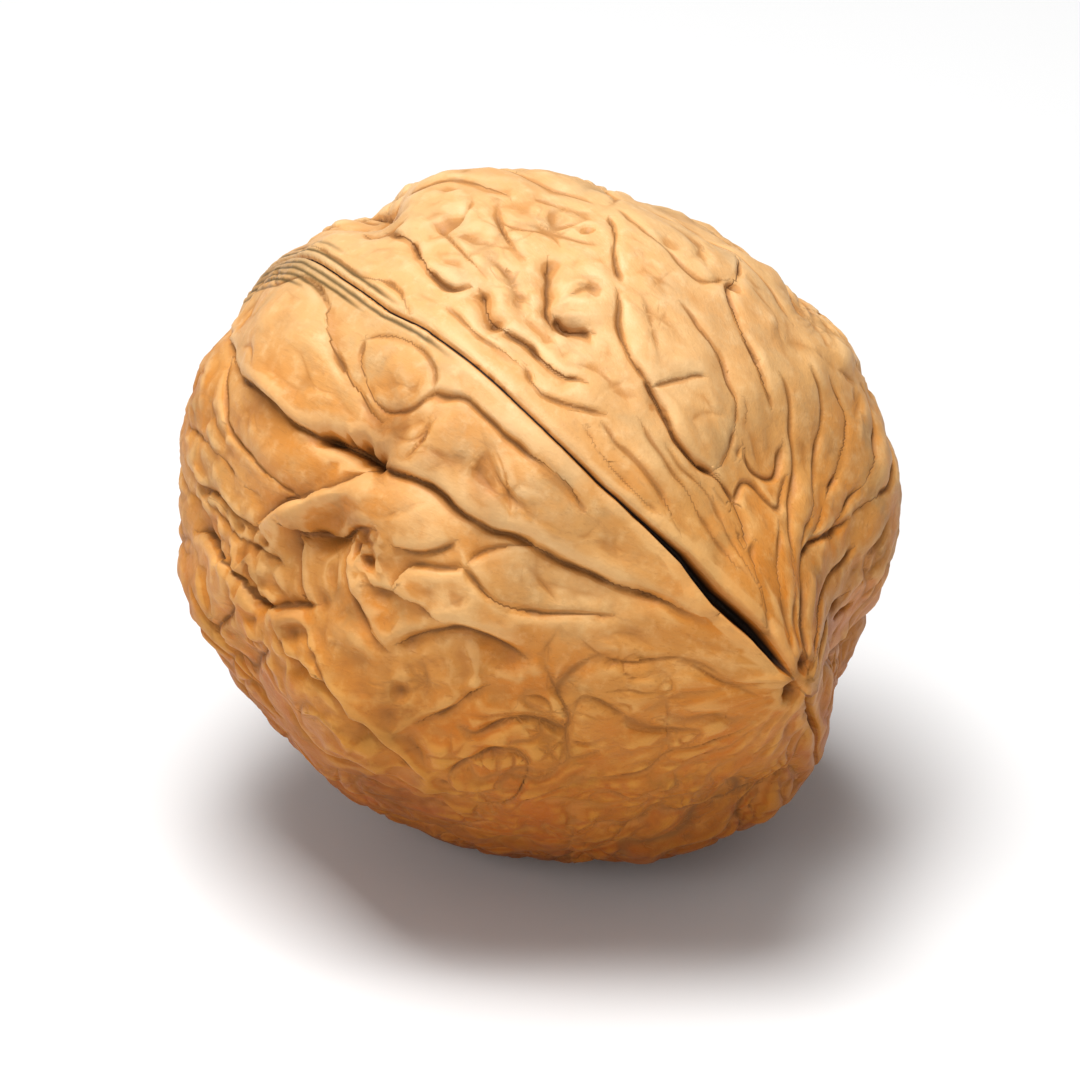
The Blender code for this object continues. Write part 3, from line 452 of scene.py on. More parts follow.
# What lies over the tan ground: the noise's name, the values between which the colour comes in, its share
LAYERS = (
    ("blotch", 0.36, 0.66, 1.00, ORANGE),
    ("rose", 0.50, 0.70, 0.80, ROSY),
    ("dust", 0.50, 0.70, 0.80, DUSTY),
    ("mottle", 0.48, 0.80, 0.55, CREAM),
    ("streak", 0.52, 0.74, 0.50, STREAK),
    ("hair", 0.56, 0.74, 0.35, BROWN),
)
# Painted shade in the hollows, with a warm painted bounce in the shallow ones and painted black in the
# deepest pits: the hollow's reach, the depths between which the colour comes in, its share
HOLLOW_SHADE_LAYERS = (
    ("hollow_wide", 0.10, 0.90, 0.50, BROWN),
    ("hollow_small", 0.00, 0.06, 0.55, WARM_SHADE),
    ("hollow_small", 0.07, 0.26, 0.50, DARK_BROWN),
    ("hollow_small", 0.34, 0.75, 0.90, GAP_BLACK),
)
# Ramps: the two values between which each runs, and what it gives at them
LIT_TOP_HEIGHTS = (20.0, 36.0, 0.0, 1.0)  # the top is paler: painted light
LIT_TOP_HALVES = (0.30, 0.90, 1.0, 0.5)  # and less so on the lower half
LIT_TOP_SHARE = 0.42
PALE_MOTTLES = (0.35, 0.60, 0.70, 1.10)
CREST_HEIGHTS = (-0.075, -0.005, 1.0, 0.0)  # crests are pale: a painted highlight, partly wear
CREST_GRAIN = 0.02
CREST_SHARE = 0.48
SHADED_LOW_HEIGHTS = (9.0, 31.0, 1.0, 0.0)  # the lower parts are darker and richer: painted shade, partly their own richer colour
SHADED_TIP_DISTANCES = (5.0, 22.0, 0.55, 0.0)  # and so is the tip: a painted shadow
SHADED_LOWER_HALVES = (0.45, 1.0, 0.0, 0.40)  # and the lower half: painted shade, partly its own richer colour
# darker underneath: painted shade
SHADED_UNDERSIDE_HEIGHTS = (1.0, 18.0, 0.95, 0.0)
STAIN_AND_SHADE_DUSTS = (0.35, 0.60, 0.55, 1.25)
LINE_MOTTLES = (0.25, 0.75, 0.6, 1.5)  # lines swell and thin out
SEAM_SHADES = (0.55, 1.0, 1.0, 0.0)
ROUGHNESSES = (0.30, 0.70, 0.44, 0.58)

# Thin lines: half width, and how near to them the mesh's points have to lie
DRAWN_LINE = (0.11, 0.42)
NET_LINE = (0.10, 0.28)
LINE_FADE_FROM = 0.6  # share of that nearness at which a line begins to fade
LINE_SHARE = 0.85
SEAM_BAND = (0.6, 1.1, 0.40)  # the dusky band beside the seam: place, half width, strength
SEAM_LINE_SHOWN = 0.125  # half width of the olive lines in it
SEAM_LINES_SHARE = 0.92
SEAM_WAVER = 0.25

LINE_ROUGHNESS = 0.2
SPECULAR = 0.20
BUMPS = (("grain", 0.10), ("hair", 0.28), ("mottle", 0.42))  # finest roughness: noise and height
LINE_BUMP = 0.8
BUMP_STRENGTH = 0.50
BUMP_HEIGHT = 0.20
PAPER_ROUGHNESS = 0.7

# The studio: lamps with their place in metres, size and power
LIGHTS = (
    ("key", (-0.05, -0.03, 0.46), 0.24, 2.75),
    ("fill", (-0.25, -0.42, 0.22), 0.35, 0.90),
)
WORLD_LIGHT = 0.29
FLOOR_SIZE = 3.0
VIEW_WIDTH = 57.0  # how much of the row the camera takes in at the nut
LOOK_HEIGHT = 17.0  # the camera looks at this height
SENSOR_WIDTH = 36.0
CLIP_START = 0.01  # metres


def unit(vector):
    return np.asarray(vector, float) / np.linalg.norm(vector)


def view_axes():
    """Right, up and out of the front drawing, in the nut's own frame."""
    elevation = math.radians(VIEW_ELEVATION)
    rise, run = math.sin(elevation), math.cos(elevation)
    return np.array(((1.0, 0.0, 0.0), (0.0, rise, run), (0.0, -run, rise)))


def nut_axes():
    """Unit vectors towards the tip, across the halves in the seam's plane, and out of the lower cheek."""
    tip = unit(unit(TIP_DIRECTION) @ view_axes())
    cheek = unit(CHEEK_DIRECTION) @ view_axes()
    cheek = unit(cheek - (cheek @ tip) * tip)
    return tip, np.cross(cheek, tip), cheek


def bump(distance, spread):
    return np.exp(-((distance / spread) ** 2))


def limited(values):
    return np.clip(values, 0.0, 1.0)


def egg(directions):
    """The plain form: an egg with three widths, a beak at the tip and a flatter base."""
    tip, across, cheek = nut_axes()
    toward = directions @ tip
    shape = (2.0 * toward / LENGTH) ** 2
    shape += (2.0 * (directions @ across) / SEAM_WIDTH) ** 2
    shape += (2.0 * (directions @ cheek) / CHEEK_WIDTH) ** 2
    from_tip = np.degrees(np.arccos(np.clip(toward, -1.0, 1.0)))
    radius = 1.0 / np.sqrt(shape) + BEAK_RISE * np.exp(-((from_tip / BEAK_SPREAD) ** BEAK_FALL))
    for rise, middle, spread in TAPERS:
        radius += rise * bump(from_tip - middle, spread)
    return radius


def onto_ball(across, radius):
    """Directions to the points of a ball of this radius that lie under places in the drawing."""
    reach = np.linalg.norm(across, axis=1, keepdims=True)
    inside = np.minimum(reach, RIM * radius)
    across = across * inside / np.maximum(reach, TINY)
    across = across * (1.0 - np.sqrt(radius**2 - inside**2) / VIEW_DISTANCE)
    out = np.sqrt(radius**2 - (across**2).sum(1, keepdims=True))
    return np.concatenate([across, out], axis=1) @ view_axes() / radius


def lifted(pixels):
    """Directions from the nut's centre to the points of its plain form that lie under drawn points."""
    across = (np.asarray(pixels, float) - CENTRE_PIXEL) * (PIXEL, -PIXEL)
    directions = onto_ball(across, np.full((len(across), 1), MEAN_RADIUS))
    for _ in range(LIFT_ROUNDS):
        directions = onto_ball(across, egg(directions)[:, None])
    return directions


def away_from(places, pixel):
    """How far places on the ball are from the one that lies under a drawn point."""
    return np.linalg.norm(places - lifted([pixel])[0] * MEAN_RADIUS, axis=1)


def rounded(points):
    """The stroke with its corners cut, so that it bends smoothly."""
    for _ in range(CUT_ROUNDS):
        near = (1.0 - CUT_SHARE) * points[:-1] + CUT_SHARE * points[1:]
        far = CUT_SHARE * points[:-1] + (1.0 - CUT_SHARE) * points[1:]
        middle = np.stack([near, far], axis=1).reshape(-1, points.shape[1])
        points = np.concatenate([points[:1], middle, points[-1:]])
    return points


def waves(points, length, seed):
    """Smooth noise with about unit strength: plane waves of about the given length, in all directions."""
    rng = np.random.default_rng(seed)
    directions = rng.normal(size=(WAVE_COUNT, 3))
    directions /= np.linalg.norm(directions, axis=1, keepdims=True)
    numbers = 2.0 * math.pi / (length * rng.uniform(*WAVE_SPREAD, size=(WAVE_COUNT, 1)))
    phases = rng.uniform(0.0, 2.0 * math.pi, size=WAVE_COUNT)
    return np.sin(points @ (directions * numbers).T + phases).sum(1) * math.sqrt(2.0 / WAVE_COUNT)


def wavering(points):
    """The points shifted a little sideways, so that each drawn line wavers as a grown one does."""
    shifts = 0.0
    for reach, length, seed in WAVERS:
        shifts = shifts + reach * np.stack([waves(points, length, seed + k) for k in range(3)], axis=1)
    return points + shifts


def along_line(points, line):
    """For each point: its distance from the line, which is signed, and how far along the line it lies."""
    lengths = np.linalg.norm(np.diff(line, axis=0), axis=1)
    starts = np.concatenate([[0.0], np.cumsum(lengths)])
    best, signed, along = np.full(len(points), np.inf), np.zeros(len(points)), np.zeros(len(points))
    for start, end, length, before in zip(line, line[1:], lengths, starts):
        heading = (end - start) / length
        offset = points - start
        at = np.clip(offset @ heading, 0.0, length)
        gap = offset - at[:, None] * heading
        distance = np.linalg.norm(gap, axis=1)
        closer = distance < best
        left = gap @ np.cross(start / MEAN_RADIUS, heading) > 0.0
        best = np.where(closer, distance, best)
        signed = np.where(closer, np.where(left, distance, -distance), signed)
        along = np.where(closer, before + at, along)
    return signed, along, starts[-1]


def groove_share(distance, half_width):
    """How deep a groove is away from its middle, in its full depth. Its bottom is a little round."""
    away = np.sqrt(distance**2 + CREASE_ROUND**2) - CREASE_ROUND
    return np.exp(-away / half_width)


def dig(relief, groove, near=slice(None)):
    """Keeps the deepest of the grooves that lie over one another."""
    relief["groove"][near] = np.minimum(relief["groove"][near], groove)


def draw_crease(relief, places, name, depth, half_width, step, pixels):
    """A sharp groove with a lip on each side and a step across it, which fades towards its two ends."""
    line = rounded(lifted(pixels) * MEAN_RADIUS)
    middle = line.mean(0)
    reach = np.linalg.norm(line - middle, axis=1).max() + CREASE_END * half_width + DRAWN_REACH
    near = np.flatnonzero(np.linalg.norm(places - middle, axis=1) < reach)
    signed, along, total = along_line(places[near], line)
    distance = np.abs(signed)
    end_fade = limited(np.minimum(along, total - along) / (END_FADE * total))
    fade = end_fade * (2.0 - end_fade)
    strength = END_STRENGTH + (1.0 - END_STRENGTH) * fade
    lip_place, lip_width = (share * half_width for share in LIP_SHAPE)
    lips = LIP * depth * bump(distance - lip_place, lip_width)
    ledge = 0.5 * step * np.tanh(signed / half_width)
    ledge = ledge * bump(distance, max(LEDGE_LEAST * half_width, LEDGE_REACH))
    dig(relief, -depth * strength * groove_share(distance, half_width), near)
    relief["sides"][near] += strength * lips + fade * ledge
    relief["drawn"][near] = np.maximum(relief["drawn"][near], bump(distance, DRAWN_REACH))
    mark_line(relief, name, near, signed, strength * min(1.0, LINE_STRENGTH * depth))


def mark_line(relief, name, near, signed, strength):
    """Keeps the signed distance to the nearest line of this name, and that line's strength."""
    closer = np.abs(signed) < relief[name + "_near"][near]
    chosen = near[closer]
    relief[name + "_near"][chosen] = np.abs(signed[closer])
    relief[name + "_side"][chosen] = signed[closer]
    relief[name + "_strength"][chosen] = strength[closer]


def swell(directions, height, half_length, half_width, angle, pixel):
    """A smooth dome, or a hollow where the height is negative."""
    centre = lifted([pixel])[0]
    right, up, out = view_axes()
    long_side = out
    if angle is not None:
        turn = math.radians(angle)
        long_side = math.cos(turn) * right + math.sin(turn) * up
    long_side = unit(long_side - (long_side @ centre) * centre)
    short_side = np.cross(centre, long_side)
    x = directions @ long_side * MEAN_RADIUS / half_length
    y = directions @ short_side * MEAN_RADIUS / half_width
    facing = directions @ centre > 0.0
    return np.where(facing, height * np.exp(-((x * x + y * y) ** SWELL_EDGE)), 0.0)


def come_and_go(field, mean, swing, least, most):
    return np.clip(mean + swing * field, least, most)


def barrel_girth(from_tip):
    """The barrel's radius where it is this far from the tip, in radians."""
    return MEAN_RADIUS * (POLE_GIRTH + (1.0 - POLE_GIRTH) * np.sin(from_tip))


def on_barrel(directions):
    """Points on a barrel round the nut's axis, on which lines along the meridians run straight."""
    tip, across, cheek = nut_axes()
    from_tip = np.arccos(np.clip(directions @ tip, -1.0, 1.0))
    girth = barrel_girth(from_tip)
    around = np.arctan2(directions @ cheek, directions @ across)
    return np.stack([girth * np.cos(around), girth * np.sin(around), MEAN_RADIUS * from_tip], axis=1)


def cell_centres(length, width, seed):
    """Scattered cell centres on the barrel, in rows from the tip to the base."""
    rng = np.random.default_rng(seed)
    rows = max(3, round(math.pi * MEAN_RADIUS / length))
    centres = []
    for row in range(rows + 1):
        from_tip = math.pi * row / rows
        girth = barrel_girth(from_tip)
        count = max(4, round(2.0 * math.pi * girth / width))
        place = np.arange(count) + 0.5 * (row % 2) + rng.uniform(-CELL_SCATTER, CELL_SCATTER, count)
        around = 2.0 * math.pi * place / count
        height = MEAN_RADIUS * from_tip + length * rng.uniform(-CELL_SCATTER, CELL_SCATTER, count)
        centres.append(np.stack([girth * np.cos(around), girth * np.sin(around), height], axis=1))
    return np.concatenate(centres)


def cell_borders(points, centres):
    """Each point's distance to its cell's centre and to its border, whose sign flips over the border."""
    inside, border = np.empty(len(points)), np.empty(len(points))
    for first in range(0, len(points), CHUNK):
        block = points[first : first + CHUNK]
        rows = np.arange(len(block))
        squared = (block**2).sum(1)[:, None] + (centres**2).sum(1)[None] - 2.0 * block @ centres.T
        own = squared.argmin(1)
        own_distance = np.sqrt(np.maximum(squared[rows, own], 0.0))
        squared[rows, own] = np.inf
        other = squared.argmin(1)
        other_distance = np.sqrt(np.maximum(squared[rows, other], 0.0))
        inside[first : first + CHUNK] = own_distance
        side = np.where(own < other, 0.5, -0.5)
        border[first : first + CHUNK] = side * (other_distance - own_distance)
    return inside, border


def net_creases(relief, signed, depth, presence, half_width):
    """Grooves, and marks for their lines, where a signed distance passes through zero."""
    dig(relief, -depth * presence * groove_share(signed, half_width))
    strength = presence * min(1.0, NET_LINE_STRENGTH * depth)
    mark_line(relief, "net", np.arange(len(signed)), signed, strength)


def cover_with_net(relief, directions, length, width, depth, half_width, seed):
    """Creases along the borders of long cells, which wander and come and go, and the cells' own crowns."""
    squeeze = np.array((1.0, 1.0, width / length))
    ball = directions * MEAN_RADIUS
    points = on_barrel(directions)
    for wander, share in NET_WANDER:
        sway = [waves(ball, wander * width, seed + NET_SEEDS[0] + k) for k in range(3)]
        points = points + share * width * np.stack(sway, axis=1)
    inside, border = cell_borders(points * squeeze, cell_centres(length, width, seed) * squeeze)
    coming = waves(ball, NET_COMES_OVER * width, seed + NET_SEEDS[1])
    presence = come_and_go(coming, *NET_PRESENCE) * relief["free"]
    height, reach = NET_CROWN
    crown = height * depth * presence * (1.0 - limited(inside / (reach * width)) ** 2)
    relief["sides"] += crown
    net_creases(relief, border, depth, presence, half_width)


def cover_with_folds(relief, directions, spacing, depth, seed):
    """Rounded folds with sharp creases between them, longer along the meridians than across them."""
    ball = directions * MEAN_RADIUS
    points = on_barrel(directions) * (1.0, 1.0, FOLD_STRETCH)
    stray, length, coming = (share * spacing for share in FOLD_LENGTHS)
    points = points + FOLD_WARP * spacing * waves(ball, stray, seed + 1)[:, None]
    field = waves(points, length, seed)
    presence = come_and_go(waves(ball, coming, seed + 2), *FOLD_PRESENCE) * relief["free"]
    relief["sides"] += FOLD_CROWN * depth * presence * (1.0 - np.exp(-(field**2) / FOLD_STEEP))
    net_creases(relief, field * spacing / FOLD_SLOPE, depth, presence, FOLD_WIDTH * spacing)


def covered(places, patches):
    """How strongly soft round patches cover each place."""
    cover = np.zeros(len(places))
    for strength, radius, pixel in patches:
        cover = np.maximum(cover, strength * bump(away_from(places, pixel), radius))
    return cover


def cover_with_pocks(relief, directions):
    """Patches of small pits on the cheeks."""
    ball = directions * MEAN_RADIUS
    *patches, patch_least = POCK_PATCHES
    *pocks, pock_least = POCKS
    patch = limited(waves(ball, *patches) - patch_least)
    deep = np.clip(-waves(ball, *pocks) - pock_least, 0.0, POCK_MOST)
    relief["sides"] -= POCK_DEPTH * patch * deep * relief["free"]


def roughen(relief, places, height, length, radius, pixel, seed):
    """Small lumps and dents in a round patch."""
    weight = bump(away_from(places, pixel), radius)
    near = np.flatnonzero(weight > PATCH_EDGE)
    lumps = LUMP_MEAN - np.abs(waves(places[near], length, seed))
    small_height, small_length = SMALL_LUMPS
    lumps = lumps + small_height * waves(places[near], small_length * length, seed + 1)
    relief["sides"][near] += height * weight[near] * lumps


def seam_place(directions):
    """How far each direction turns from the tip in the seam's plane, and its offset from the seam."""
    tip, across, cheek = nut_axes()
    turn = np.degrees(np.arctan2(directions @ across, directions @ tip))
    ripple, length, seed = SEAM_RIPPLE
    sway = ripple * waves(directions * MEAN_RADIUS, length, seed)
    for reach, times, start in SEAM_SWAYS:
        sway += reach * np.sin(times * np.radians(turn) + start)
    sway *= limited(np.abs(turn) / SWAY_FROM)
    drawn = lifted(SEAM_DRAWN)
    drawn_turn = np.degrees(np.arctan2(drawn @ across, drawn @ tip))
    drawn_sway = np.interp(turn, drawn_turn, MEAN_RADIUS * np.arcsin(drawn @ cheek))
    on_front = limited(np.minimum(DRAWN_FADE + turn, DRAWN_END - turn) / DRAWN_FADE)
    sway = on_front * drawn_sway + (1.0 - on_front) * sway
    return turn, MEAN_RADIUS * np.arcsin(np.clip(directions @ cheek, -1.0, 1.0)) - sway


def seam_rise(far, offset):
    """How high the shoulders along the seam stand."""
    rise = SEAM_RISE
    for extra, middle, spread in SEAM_RISES:
        rise = rise + extra * bump(far - middle, spread)
    return rise * bump(offset, SHOULDER_REACH)


def gap_opening(turn):
    """Half the width by which the seam stands open, beyond what it has where it is closed."""
    gap_angles, gap_halves = np.transpose(GAP_SHAPE)
    opened = np.maximum(np.interp(np.abs(turn), gap_angles, gap_halves) - GAP_CLOSED, 0.0)
    return opened * np.where(turn > 0.0, 1.0, HIDDEN_GAP)


def lines_left(turn):
    """What is left of the lines beside the seam, which thin out from the base end to the far side."""
    by_front = np.where(turn < 0.0, turn + 360.0, turn)
    share = limited((SEAM_LINES_END - by_front) / SEAM_LINES_END_FADE)
    return SEAM_LINES_TRACE + (1.0 - SEAM_LINES_TRACE) * share


def cut_seam(relief, directions):
    """The raised shoulders along the seam, its line, the gap beside the tip, and fine lines beside it."""
    cheek = nut_axes()[2]
    turn, offset = seam_place(directions)
    far = np.abs(turn)
    opened = gap_opening(turn)
    half_gap = GAP_CLOSED + opened
    depth = (SEAM_DEPTH + GAP_DEEPENS * opened) * np.clip(far / SEAM_START, SEAM_LEAST, 1.0)
    dig(relief, -depth * np.exp(-((offset / (half_gap + SEAM_WIDENS)) ** SEAM_EDGE)))
    lip, lip_place, lip_reach = SEAM_LIP
    lips = lip * bump(np.abs(offset) - lip_place, lip_reach)
    relief["sides"] += seam_rise(far, offset) + lips
    lined = lines_left(turn)
    for place, strength, start in SEAM_LINES:
        shown = strength * lined * limited((far - start) / SEAM_LINE_FADE)
        dig(relief, -SEAM_LINE_DEPTH * shown * np.exp(-np.abs(offset - place) / SEAM_LINE_WIDTH))
    relief["seam_side"] = offset
    relief["seam_open"] = half_gap
    relief["seam_strength"] = limited(far / SEAM_START)
    relief["base_end"] = bump(np.maximum(0.0, BASE_END - far), BASE_END_FADE)
    relief["lined"] = lined
    relief["from_tip"] = far
    relief["lower_half"] = limited(0.5 + HALF_BLEND * (directions @ cheek))


def nut_relief(directions):
    """How far the surface is from the nut's centre in each direction, and what its shell shows there."""
    count = len(directions)
    ball = directions * MEAN_RADIUS
    relief = {name: np.zeros(count) for name in ("groove", "sides", "drawn")}
    for name in (*LINE_NAMES, "net"):
        relief[name + "_near"] = np.full(count, FAR_AWAY)
        relief[name + "_side"] = np.full(count, FAR_AWAY)
        relief[name + "_strength"] = np.zeros(count)
    cut_seam(relief, directions)
    for values in SWELLS:
        relief["sides"] += swell(directions, *values)
    places = wavering(ball)
    for number, (depth, half_width, step, pixels) in enumerate(CREASES):
        draw_crease(relief, places, LINE_NAMES[number % 2], depth, half_width, step, pixels)
    for depth, radius, pixel in PITS:
        dig(relief, -depth * bump(away_from(places, pixel), radius))
    relief["stain_and_shade"] = covered(places, STAIN_AND_SHADE_PATCHES)
    relief["pale"] = covered(places, PALE_AND_LIT_PATCHES)
    for height, length, radius, pixel, seed in ROUGH_PATCHES:
        roughen(relief, places, height, length, radius, pixel, seed)
    underneath = bump(np.arccos(np.clip(-directions[:, 2], -1.0, 1.0)) * MEAN_RADIUS, REST_SPREAD)
    beside_seam = bump(relief["seam_side"], SEAM_REACH)
    relief["free"] = (1.0 - relief["drawn"]) * (1.0 - beside_seam) * (1.0 - underneath)
    for values in NETS:
        cover_with_net(relief, directions, *values)
    for values in FOLDS:
        cover_with_folds(relief, directions, *values)
    cover_with_pocks(relief, directions)
    form = egg(directions)
    for height, length, seed in FORM_WAVES:
        form += height * waves(ball, length, seed)
    for height, length, seed in RIPPLES:
        form += height * waves(on_barrel(directions) * (1.0, 1.0, RIPPLE_STRETCH), length, seed)
    relief["radius"] = form + relief["sides"] + relief["groove"]
    return relief


def sphere_of_squares(grid):
    """Directions over the whole sphere, in an even grid on each face of a cube, and the grid's squares."""
    ticks = np.tan(np.linspace(-math.pi / 4.0, math.pi / 4.0, grid + 1))
    u, v = (a.ravel() for a in np.meshgrid(ticks, ticks, indexing="ij"))
    ones = np.ones_like(u)
    sides = []
    for axis in range(3):
        for sign in (1.0, -1.0):
            face = np.empty((len(u), 3))
            face[:, axis] = sign * ones
            face[:, (axis + 1) % 3] = sign * u
            face[:, (axis + 2) % 3] = v
            sides.append(face)
    points = np.concatenate(sides)
    directions = points / np.linalg.norm(points, axis=1, keepdims=True)
    corner = (np.arange(grid)[:, None] * (grid + 1) + np.arange(grid)[None]).ravel()
    square = np.stack([corner, corner + grid + 1, corner + grid + 2, corner + 1], axis=1)
    squares = np.concatenate([square + side * len(u) for side in range(6)])
    return directions, squares


def closed_mesh(directions, squares):
    """A ball of squares without doubled points."""
    mesh = bpy.data.meshes.new("even_shell")
    mesh.from_pydata((directions * MEAN_RADIUS * MM).tolist(), [], squares.tolist())
    shape = bmesh.new()
    shape.from_mesh(mesh)
    bmesh.ops.remove_doubles(shape, verts=shape.verts, dist=WELD * MM)
    bmesh.ops.recalc_face_normals(shape, faces=shape.faces)
    shape.to_mesh(mesh)
    shape.free()
    return mesh


def sphere_points(mesh, middle=0.0):
    """The directions from the nut's centre, which is this high, to a mesh's points."""
    points = np.empty(3 * len(mesh.vertices), np.float32)
    mesh.vertices.foreach_get("co", points)
    points = points.reshape(-1, 3) / MM - (0.0, 0.0, middle)
    return points / np.linalg.norm(points, axis=1, keepdims=True)


def shape_mesh(mesh, directions, radius):
    """Moves a mesh's points onto the nut's surface, and none below the surface that it lies on."""
    points = directions * radius[:, None] + (0.0, 0.0, REST_HEIGHT)
    points[:, 2] = np.maximum(points[:, 2], 0.0)
    mesh.vertices.foreach_set("co", (points * MM).astype(np.float32).ravel())
    mesh.update()


def spare_lines(obj, relief):
    """A vertex group that keeps the thinning off the drawn lines and the stronger lines of the net."""
    drawn = np.minimum(relief["line_near"], relief["mate_near"]) < SPARED_REACH
    netted = (relief["net_near"] < SPARED_NET_REACH) & (relief["net_strength"] > SPARED_STRENGTH)
    group = obj.vertex_groups.new(name="thinned")
    group.add(np.flatnonzero(~(drawn | netted)).tolist(), 1.0, "REPLACE")


def neighbour_mean(values, edges, times):
    """The values, each replaced so many times by the mean of its neighbours' values."""
    count = len(values)
    degree = np.bincount(edges.ravel(), minlength=count)
    for _ in range(times):
        total = np.bincount(edges[:, 0], values[edges[:, 1]], count)
        total += np.bincount(edges[:, 1], values[edges[:, 0]], count)
        values = total / degree
    return values


def keep(mesh, name, values):
    """Stores one number a point on the mesh, for the material to read."""
    attribute = mesh.attributes.new(name, "FLOAT", "POINT")
    attribute.data.foreach_set("value", np.asarray(values, np.float32))


def keep_hollows(mesh, radius, spacing):
    """Stores how far each point lies below the mean of its surroundings, for a narrow and a wide reach."""
    edges = np.empty(2 * len(mesh.edges), np.int32)
    mesh.edges.foreach_get("vertices", edges)
    edges = edges.reshape(-1, 2)
    for name, reach in HOLLOW_REACHES:
        times = round(2.0 * (reach / spacing) ** 2)
        keep(mesh, name, neighbour_mean(radius, edges, times) - radius)


def dense_mesh(grid, facets):
    """An even mesh of the nut's relief, thinned where it is smooth, so that creases keep small facets."""
    mesh = closed_mesh(*sphere_of_squares(grid))
    directions = sphere_points(mesh)
    relief = nut_relief(directions)
    shape_mesh(mesh, directions, relief["radius"])
    keep_hollows(mesh, relief["radius"], 0.5 * math.pi * MEAN_RADIUS / grid)
    even = bpy.data.objects.new("even_shell", mesh)
    bpy.context.scene.collection.objects.link(even)
    spare_lines(even, relief)
    thin = even.modifiers.new("Thin", "DECIMATE")
    thin.vertex_group = "thinned"
    thin.ratio = min(1.0, facets / (2.0 * len(mesh.polygons)))
    thin.use_collapse_triangulate = True
    evaluated = even.evaluated_get(bpy.context.evaluated_depsgraph_get())
    thinned = bpy.data.meshes.new_from_object(evaluated)
    bpy.data.objects.remove(even)
    bpy.data.meshes.remove(mesh)
    return thinned


def make_shell():
    """The walnut's shell at its full detail, with the marks that its material reads."""
    grid, facets = ((GRID, FACETS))
    mesh = dense_mesh(grid, facets)
    directions = sphere_points(mesh, REST_HEIGHT)
    relief = nut_relief(directions)
    shape_mesh(mesh, directions, relief["radius"])
    for name in MARKS:
        keep(mesh, name, relief[name])
    barrel = mesh.attributes.new("barrel", "FLOAT_VECTOR", "POINT")
    barrel.data.foreach_set("vector", on_barrel(directions).astype(np.float32).ravel())
    mesh.shade_smooth()
    shell = bpy.data.objects.new("walnut_shell", mesh)
    bpy.context.scene.collection.objects.link(shell)
    mesh.materials.append(shell_material())
    return shell


class Shader:
    """Short names for the nodes of one material."""

    def __init__(self, name):
        self.material = bpy.data.materials.new(name)
        self.material.use_nodes = True
        self.tree = self.material.node_tree
        self.surface = self.tree.nodes["Principled BSDF"]

    def join(self, value, socket):
        if isinstance(value, bpy.types.NodeSocket):
            self.tree.links.new(value, socket)
        else:
            socket.default_value = value

    def add(self, kind, **settings):
        node = self.tree.nodes.new(kind)
        for name, value in settings.items():
            setattr(node, name, value)
        return node

    def mark(self, name, output="Fac"):
        return self.add("ShaderNodeAttribute", attribute_name=name).outputs[output]

    def compute(self, operation, *values):
        node = self.add("ShaderNodeMath", operation=operation)
        for value, socket in zip(values, node.inputs):
            self.join(value, socket)
        return node.outputs[0]

    def product(self, first, *others):
        for value in others:
            first = self.compute("MULTIPLY", first, value)
        return first

    def greatest(self, first, *others):
        for value in others:
            first = self.compute("MAXIMUM", first, value)
        return first

    def stretch(self, vector, factors):
        node = self.add("ShaderNodeVectorMath", operation="MULTIPLY")
        self.join(vector, node.inputs[0])
        self.join(factors, node.inputs[1])
        return node.outputs[0]

    def third(self, vector):
        """The vector's third part."""
        node = self.add("ShaderNodeSeparateXYZ")
        self.join(vector, node.inputs[0])
        return node.outputs[2]

    def noise(self, vector, *values):
        node = self.add("ShaderNodeTexNoise")
        self.join(vector, node.inputs["Vector"])
        for name, value in zip(("Scale", "Detail", "Roughness", "Distortion"), values):
            node.inputs[name].default_value = value
        return node.outputs["Fac"]

    def ramp(self, value, low, high, start, end):
        node = self.add("ShaderNodeMapRange", interpolation_type="SMOOTHSTEP")
        for number, socket in zip((value, low, high, start, end), node.inputs):
            self.join(number, socket)
        return node.outputs[0]

    def mix(self, share, under, over, blend="MIX"):
        node = self.add("ShaderNodeMix", data_type="RGBA", blend_type=blend)
        self.join(share, node.inputs["Factor"])
        self.join(under, node.inputs[6])
        self.join(over, node.inputs[7])
        return node.outputs[2]

    def hill(self, value, width):
        """1 where the value is 0, falling to 0 on both sides over about the width."""
        scaled = self.compute("DIVIDE", value, width)
        return self.compute("EXPONENT", self.product(scaled, scaled, -1.0))


def shell_line(shader, prefix, half_width, reach, mottle):
    """A thin line where the signed distance of this name passes through zero."""
    wide = shader.product(half_width, shader.ramp(mottle, *LINE_MOTTLES))
    thin = shader.hill(shader.mark(prefix + "_side"), wide)
    close = shader.ramp(shader.mark(prefix + "_near"), LINE_FADE_FROM * reach, reach, 1.0, 0.0)
    return shader.product(thin, close, shader.mark(prefix + "_strength"))


def shell_lines(shader, mottle):
    """The dark lines in the drawn creases and in those of the net and the folds: the shell's own brown
    lines, partly painted shade in the creases, darker the deeper they are.
    """
    drawn = [shell_line(shader, name, *DRAWN_LINE, mottle) for name in LINE_NAMES]
    return shader.greatest(shell_line(shader, "net", *NET_LINE, mottle), *drawn)


